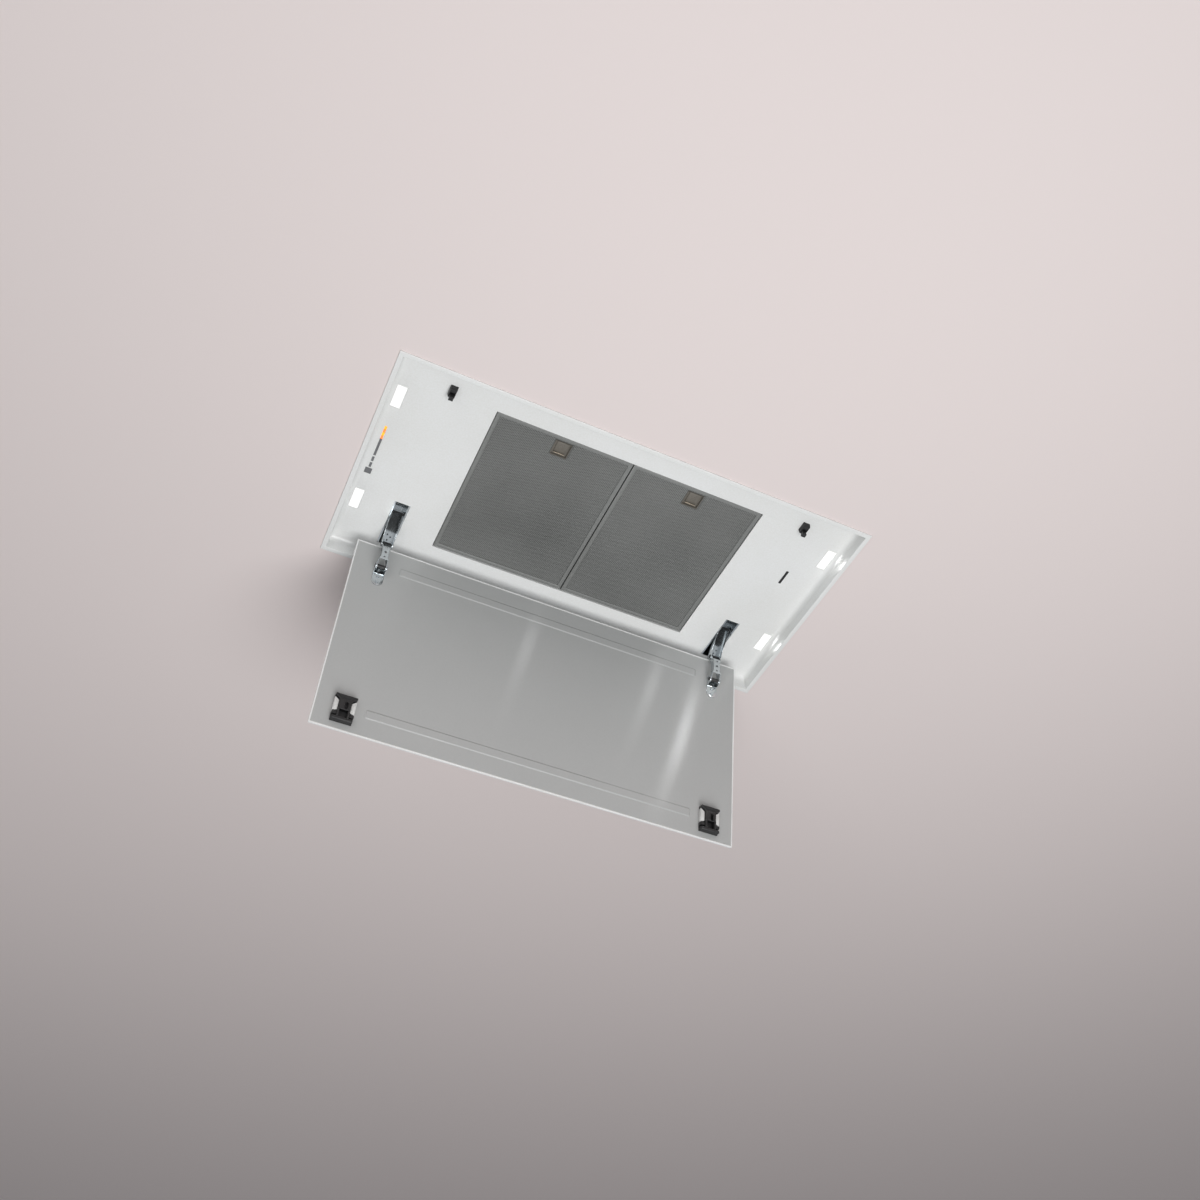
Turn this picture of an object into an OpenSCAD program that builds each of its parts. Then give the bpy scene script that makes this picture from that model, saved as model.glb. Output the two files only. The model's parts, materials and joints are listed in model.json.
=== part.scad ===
// Flush ceiling range hood with a drop-down suction panel, seen open.
// +X runs along the hood, +Y points to the hinge side and +Z points up.
// The origin is the centre of the four suspension holes above the housing.
// The ceiling's surface lies at ceiling_z, and the rim bears on it from below.
// Heights in the modules are measured from the ceiling's surface.

/* [Tray] */
// Length of the tray over its rim
tray_w = 1050; // [1040:1:1100]
// Depth of the tray over its rim
tray_d = 534; // [530:1:560]
// Width of the flat rim seen from below
rim_w = 10; // [8:0.5:14]
// Thickness of the folded rim
rim_t = 4; // [3:0.5:6]
// Height of the recess above the rim's face
recess_h = 35; // [34:0.5:38]
// Radius of the cove between wall and recess
cove_r = 12; // [6:0.5:12]
// Sheet of the tray
tray_sheet = 1.2; // [0.8:0.1:1.5]

/* [Housing] */
// Height of the whole hood, from the rim's face to the suspension holes
hood_h = 250; // [250:1:300]
// Sheet of the housing and its lid
shell_sheet = 1; // [0.8:0.1:1.5]
// Width of the flange turned in at the housing's top
shell_flange = 16; // [14:1:20]
// Height of the suspension brackets above the lid
bracket_h = 20; // [16:1:30]
// Distance of a suspension hole from the tray's end
rod_in_x = 85; // [75:1:115]
// Distance of a suspension hole from the tray's side
rod_in_y = 67; // [57:1:87]
// Radius of a suspension hole
rod_hole_r = 4.5; // [3:0.5:6]

/* [Filters] */
// Distance of the filter opening from the tray's end
filter_in_x = 221.5; // [220:0.5:230]
// Distance of the filter opening from the tray's near side
filter_near = 70; // [69:0.5:74]
// Distance of the filter opening from the tray's hinge side
filter_far = 80; // [78:0.5:84]
// Height of a filter
filter_h = 9; // [8:0.5:12]
// Width of a filter's frame
filter_rim = 9; // [8:0.5:9]
// Travel of a filter's latch
latch_travel = 5; // [3:0.5:5]

/* [Lamps and controls] */
// Length of a lamp's lens
lamp_l = 54; // [40:1:60]
// Width of a lamp's lens
lamp_w = 22; // [16:0.5:22]
// Width of the level bar
bar_w = 4.5; // [3:0.5:6]
// Side of the square display
display_side = 14; // [12:0.5:16]

/* [Panel] */
// Width of the slot at each end of the shut panel
end_slot = 56; // [55:0.5:65]
// Width of the slot along each side of the shut panel
side_slot = 25.5; // [23:0.5:29]
// Thickness of the panel
panel_t = 6; // [6:0.5:8]
// Width of the lip that holds the liner
panel_lip = 3; // [2:0.5:4]
// Sheet of the outer skin
skin_t = 1; // [0.8:0.1:1.2]
// Sheet of the liner
liner_t = 0.7; // [0.6:0.1:0.8]
// Width of a pressed bead
bead_w = 21; // [16:0.5:24]
// Height of a pressed bead
bead_h = 1.5; // [1:0.1:1.8]

/* [Hinges] */
// Distance of a hinge's middle from the panel's end
hinge_in = 60.5; // [57:0.5:63]
// Length of the arm between its pivots
arm_l = 72.8; // [72:0.2:73.4]
// Length of the link between its pivots
link_l = 63.4; // [63:0.2:64]
// Thickness of the hinge's steel
hinge_sheet = 1.5; // [1.2:0.1:1.6]
// Radius of a hinge pin
pin_r = 2.5; // [2:0.1:3]
// Angle of the open panel from closed
panel_open_angle = 100; // [95:1:102]

/* [Fan] */
// Radius of the impeller
impeller_r = 105; // [95:1:106]
// Number of blades
blade_count = 36; // [24:1:44]
// Height left over and under the outlet collar in the fan's casing
collar_margin = 2.5; // [2:0.5:15]
// Length of the outlet collar
collar_l = 50; // [45:1:70]

/* [Hidden] */
$fn = 48;

// Overrun of every cut past the face that it opens
over = 1;
// Gap between pieces that lie side by side
gap = 0.2;
// Gap round a piece that slides
slide_gap = 0.3;
// Running clearance round a pin, on the radius
pin_gap = 0.05;

// Heights above the ceiling's surface
ceiling_z = rim_t - hood_h;
recess_z = recess_h - rim_t;
tray_top = recess_z + tray_sheet;
lid_top = hood_h - rim_t - bracket_h;
lid_z = lid_top - shell_sheet;

// Length and depth of the panel, which leaves a slot all round
panel_w = tray_w - 2 * (rim_w + end_slot);
panel_d = tray_d - 2 * (rim_w + side_slot);
hinge_x = panel_w / 2 - hinge_in;

// Half sizes of the tray's walls and the housing
tray_in_x = tray_w / 2 - rim_w;
tray_in_y = tray_d / 2 - rim_w;
shell_in_x = tray_in_x + tray_sheet + gap;
shell_in_y = tray_in_y + tray_sheet + gap;
shell_x = shell_in_x + shell_sheet;
shell_y = shell_in_y + shell_sheet;

// Weld studs on the tray and their nuts
stud_r = 2;
stud_h = 9;
nut_r = 4;
nut_h = 3.2;
nut_sides = 6;

// Screws: head radius, head height, shank radius and shank length
head_r = 3.2;
head_h = 2;
shank_r = 1.9;
shank_l = 5;

// Filter opening, its upright edge and the windows in it
upstand_h = 14;
filter_x0 = tray_w / 2 - filter_in_x;
filter_y0 = filter_near - tray_d / 2;
filter_y1 = tray_d / 2 - filter_far;
filter_side_gap = 1.5;
filter_set_back = 2;
filter_z = recess_z + filter_set_back;
filter_half_gap = 1;
filter_w = filter_x0 - filter_side_gap - filter_half_gap;
filter_d = filter_y1 - filter_y0 - 2 * filter_side_gap;
filter_mid_x = filter_half_gap + filter_w / 2;
mesh_set_back = 1.5;
mesh_h = filter_h - 2 * mesh_set_back;
mesh_inset = 5;
hook_w = 16;
hook_h = 3;
hook_reach = 3;
hook_x = filter_w / 3;
hook_z = filter_z + filter_h - hook_h - filter_set_back;

// Filter latch: cup, plate and bolt
cup_w = 37;
cup_d = 36;
cup_rise = 1;
cup_h = filter_h - cup_rise;
cup_wall = 1.2;
cup_in = 4.5;
cup_y = filter_y0 + filter_side_gap + filter_rim + cup_in;
cup_z = filter_z + cup_rise;
plate_w = 24;
plate_t = 2;
plate_z = cup_z + cup_h - cup_wall - slide_gap - plate_t;
plate_y0 = cup_y + cup_wall + slide_gap;
plate_l = cup_d - 2 * cup_wall - 2 * slide_gap - latch_travel;
lip_t = 1.6;
bolt_w = 10;
bolt_tip = filter_y0 - tray_sheet - hook_reach;

// Cross rails of the housing
rail_off = 37.5;
rail_x = filter_x0 + rail_off;
rail_w = 32;
rail_h = 20;
rail_sheet = 1.5;
rail_near = 47;
rail_far = 57;
rail_stud_y = [rail_near - tray_d / 2, 0, tray_d / 2 - rail_far];

// Lamps at the foot of the end coves
lamp_near = 121;
lamp_far = 136;
lamp_x = tray_in_x - cove_r - lamp_w / 2;
lamp_y = [lamp_near - tray_d / 2, tray_d / 2 - lamp_far];
lamp_proud = 0.3;
lamp_flange = 1.5;
lamp_flange_h = 2;
lamp_body_h = 12;

// Control strip between the lamps: places as shares of its length
strip_l = tray_d * 0.238;
strip_x = -lamp_x;
strip_y0 = -strip_l * 0.539;
strip_marks_y = [for (share = [0, 0.067, 0.134, 0.201, 0.264, 0.613]) strip_y0 + share * strip_l];
dash_y = [for (share = [0.644, 0.771]) strip_y0 + share * strip_l];
dash_l = strip_l * 0.0945;
display_y = strip_y0 + strip_l * 0.945;
mark_gap = 0.8;
mark_z = recess_z - lamp_proud;
board_gap = 1.8;
board_z = tray_top + board_gap;
board_w = 26;
board_l = strip_l * 1.12;
board_t = 1.6;

// Sensor in its slot
sensor_in = 91.5;
sensor_x = tray_w / 2 - sensor_in;
sensor_y = -62.5;
sensor_w = 5.5;
sensor_l = 38;
sensor_body = 14;

// Catches over the panel's latches: housing, tongue and the tongue's way
latch_in = 59;
catch_in = 26.5;
catch_x = panel_w / 2 - latch_in;
catch_y = catch_in - panel_d / 2;
catch_w = 16;
catch_l = 24;
catch_drop = 11;
catch_neck = 1;
catch_flange = 2;
tongue_w = 9;
tongue_l = 8;
tongue_off = 6;
tongue_y = catch_y + tongue_off;
tongue_low = 9;
tongue_travel = 3;
tongue_head = 2;

// Housing details: its box starts above the false ceiling's board
shell_low = 12;
rod_gap_x = tray_w - 2 * rod_in_x;
rod_gap_y = tray_d - 2 * rod_in_y;
lid_screw_end = 25;
lid_screw_x = [for (k = [-2 : 2]) k * (tray_w / 2 - lid_screw_end) / 2];
lid_screw_in = 8;
bracket_w = 40;
bracket_t = 2.5;
bracket_foot = 30;
bracket_tab = 30;
bracket_screw_y = 12;
gland_in = 55;
gland_x = tray_w / 2 - gland_in;
gland_y = 60;
gland_r = 9;
gland_bore_r = 4.5;
gland_up = 14;
gland_down = 8;
gland_nut_r = 12;
gland_nut_h = 5;

// Fan: middle of the impeller, spiral and heights
fan_over = 4;
fan_under = 34.8;
fan_top = lid_z - fan_over;
fan_z = tray_top + fan_under;
fan_h = fan_top - fan_z;
fan_sheet = 1;
collar_r = fan_h / 2 - collar_margin;
duct_gap = 0.5;
duct_half = collar_r + duct_gap;
spiral_room = 10;
spiral_growth = 55;
spiral_start_r = impeller_r + spiral_room;
spiral_end_r = spiral_start_r + spiral_growth;
spiral_parts = 35;
fan_x = duct_half - spiral_end_r;
fan_y = -40;
inlet_in = 23;
inlet_r = impeller_r - inlet_in;
inlet_ring_w = 12;
inlet_ring_h = 8;
mount_r = 8;
fan_mount_x = [-190, 40];
fan_mount_y = [-110, 30];
impeller_room = 17;
impeller_z = fan_z + impeller_room;
impeller_h = fan_h - 2 * impeller_room;
blade_depth = 26;
blade_t = 1;
blade_lean = 28;
ring_h = 3;
disc_z = impeller_z + impeller_h * 0.55;
disc_t = 2;
hub_r = 12;
hub_h = 18;
motor_r = 46;
motor_gap = 5;
motor_z = disc_z + disc_t + motor_gap + hub_h / 2;
shaft_r = 4;
shaft_in_motor = 30;
boss_r = 20;

// Outlet collar and its flaps
outlet_z = fan_z + fan_h / 2;
collar_t = 1.2;
collar_flange_t = 1.5;
collar_wide = 13.5;
collar_high = 4.5;
collar_flange_x = collar_r + collar_wide;
collar_flange_z = collar_r + collar_high;
collar_screw_in = 8;
collar_screw_x = collar_flange_x - collar_screw_in;
collar_screw_z = collar_flange_z - collar_screw_in;
flap_in = 12;
flap_gap = 0.8;
flap_y = shell_y + collar_flange_t + flap_in;
flap_r = collar_r - collar_t - flap_gap;
flap_t = 1.2;
flap_pin_r = 1.5;
knuckle_r = 3.2;
knuckle_l = 14;
knuckle_at = [36, 18];

// Electronics on the housing's end walls
box_w = 76;
box_l = 160;
box_h = 50;
box_wall = 2;
box_y = -40;
box_z = 110;
box_lid_t = 2;
capacitor_r = 17;
capacitor_l = 70;
driver_w = 30;
driver_l = 100;
driver_h = 28;

// Hinge: swing of arm and link, in degrees above the horizontal towards +Y
arm_open = -46;
arm_shut = 4;
link_open = -80;
link_shut = -140;
// Pivot on the panel: distance from the panel's edge and height over its lip
leaf_pivot_s = 62;
leaf_pivot_w = 12;
// Height of the shut panel's lip over the ceiling's surface
panel_shut_z = panel_t - rim_t;

// Half widths of the nested channels
link_half = 10.6;
nest_gap = 0.4;
case_gap = 1.5;
leaf_half = link_half + nest_gap + hinge_sheet;
arm_half = leaf_half;
case_half = arm_half + case_gap + hinge_sheet;
slot_half = 17.5;

function turn(a, l) = [l * cos(a), l * sin(a)];
// Pivots as [y, height over the ceiling's surface]
shut_pivot = [panel_d / 2 - leaf_pivot_s, panel_shut_z + leaf_pivot_w];
knee_shut = shut_pivot - turn(link_shut, link_l);
case_pivot = knee_shut - turn(arm_shut, arm_l);
knee = case_pivot + turn(arm_open, arm_l);
leaf_pivot = knee + turn(link_open, link_l);
// Slot in the tray, to both sides of the shut panel's pivot
slot_near = 65.5;
slot_far = 57.5;
slot_y0 = shut_pivot[0] - slot_near;
slot_y1 = shut_pivot[0] + slot_far;
// Edge of the open panel's lip
panel_edge = leaf_pivot
    - turn(180 + panel_open_angle, leaf_pivot_s)
    - turn(90 + panel_open_angle, leaf_pivot_w);

// Arm and link: reach to both sides of the pivot line and round ends
arm_high = 13.5;
arm_end_r = 7.5;
link_low = 6;
link_high = 12.5;
link_end_r = 7;
link_web_in = 12;
pin_over = 1;
pin_shoulder = 1.7;

// Case of the hinge over the slot
case_near = 6;
case_far = 11;
case_stud_in = 14;
case_y0 = slot_y0 - case_near;
case_y1 = slot_y1 + case_far;
case_top = 73;
case_foot = 12;
case_stud_y = [case_y0 + case_stud_in, case_y1 - case_stud_in];
case_window_r = 6;
case_window_in = [20, 48];
case_window_y = [case_y0 + case_window_in[0], case_y1 - case_window_in[1]];

// Leaf on the panel
leaf_s0 = 48;
leaf_s1 = 103;
leaf_t = 2;
ear_s0 = 52;
ear_s1 = 74;
ear_r = 8;
leaf_screw_s = [80, 94];

// Beads of the liner
bead_near = 49.5;
bead_far = 52.2;
bead_end = 102;
bead_flank = 3;
bead_s = [bead_near, panel_d - bead_far];
bead_half = panel_w / 2 - bead_end;

// Panel latch under the catch, along the panel's depth
latch_x = catch_x;
latch_l = 57;
latch_end = 16;
latch_s1 = panel_d - latch_end;
latch_s0 = latch_s1 - latch_l;
latch_w = 44;
latch_stem = 25;
latch_bar = 6;
latch_flare = 7;
latch_low_bar = 18;
latch_low_bar_s = latch_s1 - latch_low_bar;
latch_groove = 2;
latch_groove_z = 11;
latch_base = 3;
latch_h = 14;
pocket_w = 17;
pocket_l = 16;
pocket_end = 7.5;
pocket_s1 = latch_s1 - pocket_end;
pocket_s0 = pocket_s1 - pocket_l;
pad_w = 9.2;
pad_h = 10;

// A box from its limits along X, Y and Z
module block(x, y, z) {
    translate([x[0], y[0], z[0]]) cube([x[1] - x[0], y[1] - y[0], z[1] - z[0]]);
}

// Limits of a span from its middle and its half length
function span(mid, half) = [mid - half, mid + half];

// Lifts a piece from the ceiling's surface into the hood's frame
module at_ceiling() {
    translate([0, 0, ceiling_z]) children();
}

// Extrudes a side view drawn in Y and Z along X
module side_view(x) {
    translate([x[0], 0, 0]) rotate([90, 0, 90]) linear_extrude(x[1] - x[0]) children();
}

// A round bar along X through a point of the side view
module bar_x(x, at, r) {
    translate([x[0], at[0], at[1]]) rotate([0, 90, 0]) cylinder(r = r, h = x[1] - x[0]);
}

// A round bar along Y
module bar_y(y, at, r) {
    translate([at[0], y[0], at[1]]) rotate([-90, 0, 0]) cylinder(r = r, h = y[1] - y[0]);
}

// A pan-head screw that points down, its head seated at the given point
module screw(at) {
    translate(at) {
        cylinder(r = head_r, h = head_h);
        translate([0, 0, -shank_l]) cylinder(r = shank_r, h = shank_l + head_h / 2);
    }
}

module screw_hole(at) {
    translate(at - [0, 0, shank_l]) cylinder(r = shank_r + gap, h = 2 * shank_l);
}

// Inside of the tray as an endless trough with coved corners
module trough(half, h, r) {
    translate([-half, -rim_t - over]) square([2 * half, h - r + rim_t + over]);
    translate([r - half, -rim_t - over]) square([2 * (half - r), h + rim_t + over]);
    for (s = [-1, 1]) translate([s * (half - r), h - r]) circle(r);
}

// Two crossed troughs meet in mitred coves
module bowl(grow) {
    intersection() {
        rotate([90, 0, 0]) linear_extrude(tray_w, center = true)
            trough(tray_in_x + grow, recess_z + grow, cove_r + grow);
        rotate([90, 0, 90]) linear_extrude(2 * tray_w, center = true)
            trough(tray_in_y + grow, recess_z + grow, cove_r + grow);
    }
}

// Places of the weld studs on the tray
stud_places = concat(
    [for (s = [-1, 1], y = rail_stud_y) [s * rail_x, y]],
    [for (s = [-1, 1], e = [-1, 1], y = case_stud_y)
        [s * hinge_x + e * (case_half + case_foot / 2), y]]
);

module filter_windows() {
    for (s = [-1, 1]) {
        for (e = [-1, 1])
            block(span(s * filter_mid_x + e * hook_x, hook_w / 2 + slide_gap),
                  [filter_y1 - over, filter_y1 + tray_sheet + over],
                  [hook_z - slide_gap, hook_z + hook_h + slide_gap]);
        block(span(s * filter_mid_x, bolt_w / 2 + slide_gap),
              [filter_y0 - tray_sheet - over, filter_y0 + over],
              [plate_z - slide_gap, plate_z + plate_t + slide_gap]);
    }
}

module tray_cuts() {
    through = [recess_z - over, tray_top + over];
    block(span(0, filter_x0), [filter_y0, filter_y1], [recess_z - over, recess_z + upstand_h + over]);
    filter_windows();
    for (s = [-1, 1]) {
        block(span(s * hinge_x, slot_half), [slot_y0, slot_y1], through);
        block(span(s * catch_x, catch_w / 2 - catch_neck + gap),
              span(catch_y, catch_l / 2 - catch_neck + gap), through);
        for (y = lamp_y)
            block(span(s * lamp_x, lamp_w / 2 + gap), span(y, lamp_l / 2 + gap), through);
    }
    block(span(strip_x, bar_w / 2 + gap),
          [strip_marks_y[0] - gap, strip_marks_y[len(strip_marks_y) - 1] + gap], through);
    for (y = dash_y)
        block(span(strip_x, bar_w / 2 + gap), [y - gap, y + dash_l + gap], through);
    block(span(strip_x, display_side / 2 + gap), span(display_y, display_side / 2 + gap), through);
    block(span(sensor_x, sensor_w / 2 + gap), span(sensor_y, sensor_l / 2 + gap), through);
}

module ceiling_tray() {
    color("gainsboro") at_ceiling() difference() {
        union() {
            block(span(0, tray_w / 2), span(0, tray_d / 2), [-rim_t, 0]);
            intersection() {
                bowl(tray_sheet);
                block(span(0, tray_w / 2), span(0, tray_d / 2), [-rim_t, tray_top]);
            }
            block(span(0, filter_x0 + tray_sheet),
                  [filter_y0 - tray_sheet, filter_y1 + tray_sheet],
                  [recess_z, recess_z + upstand_h]);
            for (p = stud_places)
                translate([p[0], p[1], recess_z]) cylinder(r = stud_r, h = tray_sheet + stud_h);
        }
        bowl(0);
        tray_cuts();
    }
}

module stud_nuts() {
    color("silver") at_ceiling() for (p = stud_places)
        translate([p[0], p[1], tray_top + rail_sheet]) difference() {
            cylinder(r = nut_r, h = nut_h, $fn = nut_sides);
            translate([0, 0, -over]) cylinder(r = stud_r + pin_gap, h = nut_h + 2 * over);
        }
}

module cross_rail(side) {
    wide = span(side * rail_x, rail_w / 2);
    long = span(0, shell_in_y - gap);
    color("darkgray") at_ceiling() difference() {
        block(wide, long, [tray_top, tray_top + rail_h]);
        block([wide[0] + rail_sheet, wide[1] - rail_sheet], [long[0] - over, long[1] + over],
              [tray_top + rail_sheet, tray_top + rail_h + over]);
        for (y = rail_stud_y)
            translate([side * rail_x, y, tray_top - over]) cylinder(r = stud_r + gap, h = rail_h);
    }
}

lid_screw_places = [for (x = lid_screw_x, s = [-1, 1]) [x, s * (shell_y - lid_screw_in), lid_top]];
bracket_screw_places = [for (s = [-1, 1], e = [-1, 1], f = [-1, 1])
    [s * (rod_gap_x / 2 - bracket_tab / 2 - bracket_foot / 2),
     e * rod_gap_y / 2 + f * bracket_screw_y, lid_top + bracket_t]];
collar_screw_places = [for (s = [-1, 1], e = [-1, 1]) [s * collar_screw_x, e * collar_screw_z]];

// Turns a screw that points down so that it points into the wall at +Y
module into_wall(p) {
    translate([p[0], shell_y + collar_flange_t, outlet_z + p[1]]) rotate([-90, 0, 0]) children();
}

module body_shell() {
    color("darkgray") at_ceiling() difference() {
        block(span(0, shell_x), span(0, shell_y), [shell_low, lid_z]);
        block(span(0, shell_in_x), span(0, shell_in_y), [shell_low - over, lid_z - shell_sheet]);
        block(span(0, shell_x - shell_flange), span(0, shell_y - shell_flange), [shell_low, lid_z + over]);
        bar_y([shell_in_y - over, shell_y + over], [0, outlet_z], collar_r - collar_t);
        for (p = lid_screw_places) screw_hole(p);
        for (p = collar_screw_places) into_wall(p) screw_hole([0, 0, 0]);
    }
}

module body_lid() {
    color("silver") at_ceiling() difference() {
        block(span(0, shell_x), span(0, shell_y), [lid_z, lid_top]);
        for (p = concat(lid_screw_places, bracket_screw_places)) screw_hole(p);
        translate([gland_x, gland_y, lid_z - over])
            cylinder(r = gland_r + gap, h = shell_sheet + 2 * over);
    }
}

module housing_screws() {
    color("dimgray") at_ceiling() {
        for (p = concat(lid_screw_places, bracket_screw_places)) screw(p);
        for (p = collar_screw_places) into_wall(p) screw([0, 0, 0]);
    }
}

// A bracket drawn for the side at +X, with the rod's hole on the Z axis
module suspension_bracket() {
    inner = -bracket_tab / 2;
    wide = span(0, bracket_w / 2);
    difference() {
        union() {
            block([inner, -inner], wide, [bracket_h - bracket_t, bracket_h]);
            block([inner - bracket_t, inner], wide, [0, bracket_h]);
            block([inner - bracket_t - bracket_foot, inner], wide, [0, bracket_t]);
        }
        translate([0, 0, -over]) cylinder(r = rod_hole_r, h = bracket_h + 2 * over);
        for (e = [-1, 1])
            screw_hole([inner - bracket_foot / 2, e * bracket_screw_y, bracket_t]);
    }
}

module suspension_brackets() {
    color("silver") at_ceiling() for (s = [-1, 1], e = [-1, 1])
        translate([s * rod_gap_x / 2, e * rod_gap_y / 2, lid_top])
            mirror([1 - s, 0, 0]) suspension_bracket();
}

module cable_gland() {
    color("dimgray") at_ceiling() translate([gland_x, gland_y, lid_z - gland_down]) difference() {
        union() {
            cylinder(r = gland_r, h = gland_down + shell_sheet + gland_up);
            translate([0, 0, gland_down + shell_sheet])
                cylinder(r = gland_nut_r, h = gland_nut_h, $fn = nut_sides);
            translate([0, 0, gland_down - gland_nut_h])
                cylinder(r = gland_nut_r, h = gland_nut_h, $fn = nut_sides);
        }
        translate([0, 0, -over])
            cylinder(r = gland_bore_r, h = gland_down + shell_sheet + gland_up + 2 * over);
    }
}

module outlet_collar() {
    color("dimgray") at_ceiling() difference() {
        union() {
            block(span(0, collar_flange_x), [shell_y, shell_y + collar_flange_t],
                  span(outlet_z, collar_flange_z));
            bar_y([shell_y, shell_y + collar_l], [0, outlet_z], collar_r);
        }
        bar_y([shell_y - over, shell_y + collar_l + over], [0, outlet_z], collar_r - collar_t);
        for (p = collar_screw_places) into_wall(p) screw_hole([0, 0, 0]);
        translate([0, flap_y, outlet_z - collar_r - over])
            cylinder(r = flap_pin_r + pin_gap, h = 2 * (collar_r + over));
    }
}

module flap_pin() {
    color("silver") at_ceiling() translate([0, flap_y, outlet_z - collar_r])
        cylinder(r = flap_pin_r, h = 2 * collar_r);
}

// Half of the flap on one side of its pin, with two knuckles on the pin
module flap(side) {
    knuckles = [side * knuckle_at[0], -side * knuckle_at[1]];
    root = knuckle_r + slide_gap;
    color("dimgray") at_ceiling() translate([0, flap_y, outlet_z]) difference() {
        union() {
            intersection() {
                bar_y(span(0, flap_t / 2), [0, 0], flap_r);
                block(side > 0 ? [root, flap_r] : [-flap_r, -root], span(0, flap_t), span(0, flap_r));
            }
            for (z = knuckles) {
                translate([0, 0, z - knuckle_l / 2]) cylinder(r = knuckle_r, h = knuckle_l);
                block(side > 0 ? [0, root + over] : [-root - over, 0],
                      span(0, flap_t / 2), span(z, knuckle_l / 2));
            }
        }
        translate([0, 0, -flap_r - over]) cylinder(r = flap_pin_r + pin_gap, h = 2 * (flap_r + over));
    }
}

// Spiral of the fan's casing, widened by a wall
spiral_start = acos((spiral_end_r - 2 * duct_half) / spiral_start_r);
function spiral(grow) = [for (i = [0 : spiral_parts])
    let (a = spiral_start + (360 - spiral_start) * i / spiral_parts)
    (spiral_start_r + (spiral_end_r - spiral_start_r) * i / spiral_parts + grow) * [cos(a), sin(a)]];

module scroll_outline(grow, duct_y) {
    translate([fan_x, fan_y]) polygon(concat(
        spiral(grow),
        [[spiral_end_r + grow, duct_y - fan_y],
         [spiral_end_r - 2 * duct_half - grow, duct_y - fan_y]]));
}

module fan_scroll() {
    end_y = shell_in_y - gap;
    color("silver") at_ceiling() translate([0, 0, fan_z]) difference() {
        linear_extrude(fan_h - fan_sheet) scroll_outline(fan_sheet, end_y);
        translate([0, 0, fan_sheet]) linear_extrude(fan_h) scroll_outline(0, end_y + over);
        translate([fan_x, fan_y, -over]) cylinder(r = inlet_r, h = fan_sheet + 2 * over);
    }
}

module fan_cover() {
    color("silver") at_ceiling() translate([0, 0, fan_top - fan_sheet])
        linear_extrude(fan_sheet) scroll_outline(fan_sheet, shell_in_y - gap);
}

module fan_inlet_ring() {
    tube = inlet_r - gap;
    color("dimgray") at_ceiling() translate([fan_x, fan_y, fan_z]) difference() {
        union() {
            translate([0, 0, -fan_sheet]) cylinder(r = inlet_r + inlet_ring_w, h = fan_sheet);
            cylinder(r = tube, h = inlet_ring_h);
        }
        translate([0, 0, -2 * over]) cylinder(r = tube - 2 * fan_sheet, h = inlet_ring_h + 3 * over);
    }
}

module fan_mounts() {
    color("black") at_ceiling() for (x = fan_mount_x, y = fan_mount_y)
        translate([x, y, fan_top]) cylinder(r = mount_r, h = lid_z - fan_top);
}

module motor() {
    color("dimgray") at_ceiling() translate([fan_x, fan_y, 0]) difference() {
        union() {
            translate([0, 0, motor_z]) cylinder(r = motor_r, h = fan_top - fan_sheet - motor_z);
            translate([0, 0, motor_z - motor_gap / 2]) cylinder(r = boss_r, h = motor_gap);
        }
        translate([0, 0, motor_z - motor_gap])
            cylinder(r = shaft_r + pin_gap, h = shaft_in_motor + motor_gap + slide_gap);
    }
}

module motor_shaft() {
    color("silver") at_ceiling() translate([fan_x, fan_y, disc_z - hub_h / 2])
        cylinder(r = shaft_r, h = motor_z + shaft_in_motor - disc_z + hub_h / 2);
}

module impeller() {
    inner_r = impeller_r - blade_depth;
    color("gray") at_ceiling() translate([fan_x, fan_y, 0]) difference() {
        union() {
            for (z = [impeller_z, impeller_z + impeller_h - ring_h]) translate([0, 0, z])
                difference() {
                    cylinder(r = impeller_r, h = ring_h);
                    translate([0, 0, -over]) cylinder(r = inner_r, h = ring_h + 2 * over);
                }
            for (i = [1 : blade_count])
                rotate([0, 0, 360 * i / blade_count])
                    translate([inner_r + ring_h / 2, 0, impeller_z + ring_h / 2])
                    rotate([0, 0, blade_lean])
                    cube([blade_depth - ring_h, blade_t, impeller_h - ring_h]);
            translate([0, 0, disc_z]) cylinder(r = impeller_r - ring_h, h = disc_t);
            translate([0, 0, disc_z + disc_t / 2 - hub_h / 2]) cylinder(r = hub_r, h = hub_h);
        }
        translate([0, 0, disc_z - hub_h]) cylinder(r = shaft_r + pin_gap, h = 2 * hub_h);
    }
}

// Limits of the control box, whose back lies on the housing's wall at +X
box_x = [shell_in_x - gap - box_w, shell_in_x - gap];
box_ys = span(box_y, box_l / 2);
box_zs = [box_z, box_z + box_h];

module control_box() {
    color("whitesmoke") at_ceiling() difference() {
        block([box_x[0] + box_lid_t, box_x[1]], box_ys, box_zs);
        block([box_x[0] + box_lid_t - over, box_x[1] - box_wall],
              [box_ys[0] + box_wall, box_ys[1] - box_wall],
              [box_zs[0] + box_wall, box_zs[1] - box_wall]);
    }
}

module control_box_lid() {
    color("whitesmoke") at_ceiling() block([box_x[0], box_x[0] + box_lid_t], box_ys, box_zs);
}

module run_capacitor() {
    color("white") at_ceiling()
        bar_y(span(box_y, capacitor_l / 2),
              [box_x[1] - box_wall - gap - capacitor_r, box_z + box_wall + gap + capacitor_r],
              capacitor_r);
}

module led_driver() {
    color("black") at_ceiling()
        block([gap - shell_in_x, gap - shell_in_x + driver_w], span(0, driver_l / 2),
              [box_z, box_z + driver_h]);
}

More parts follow.
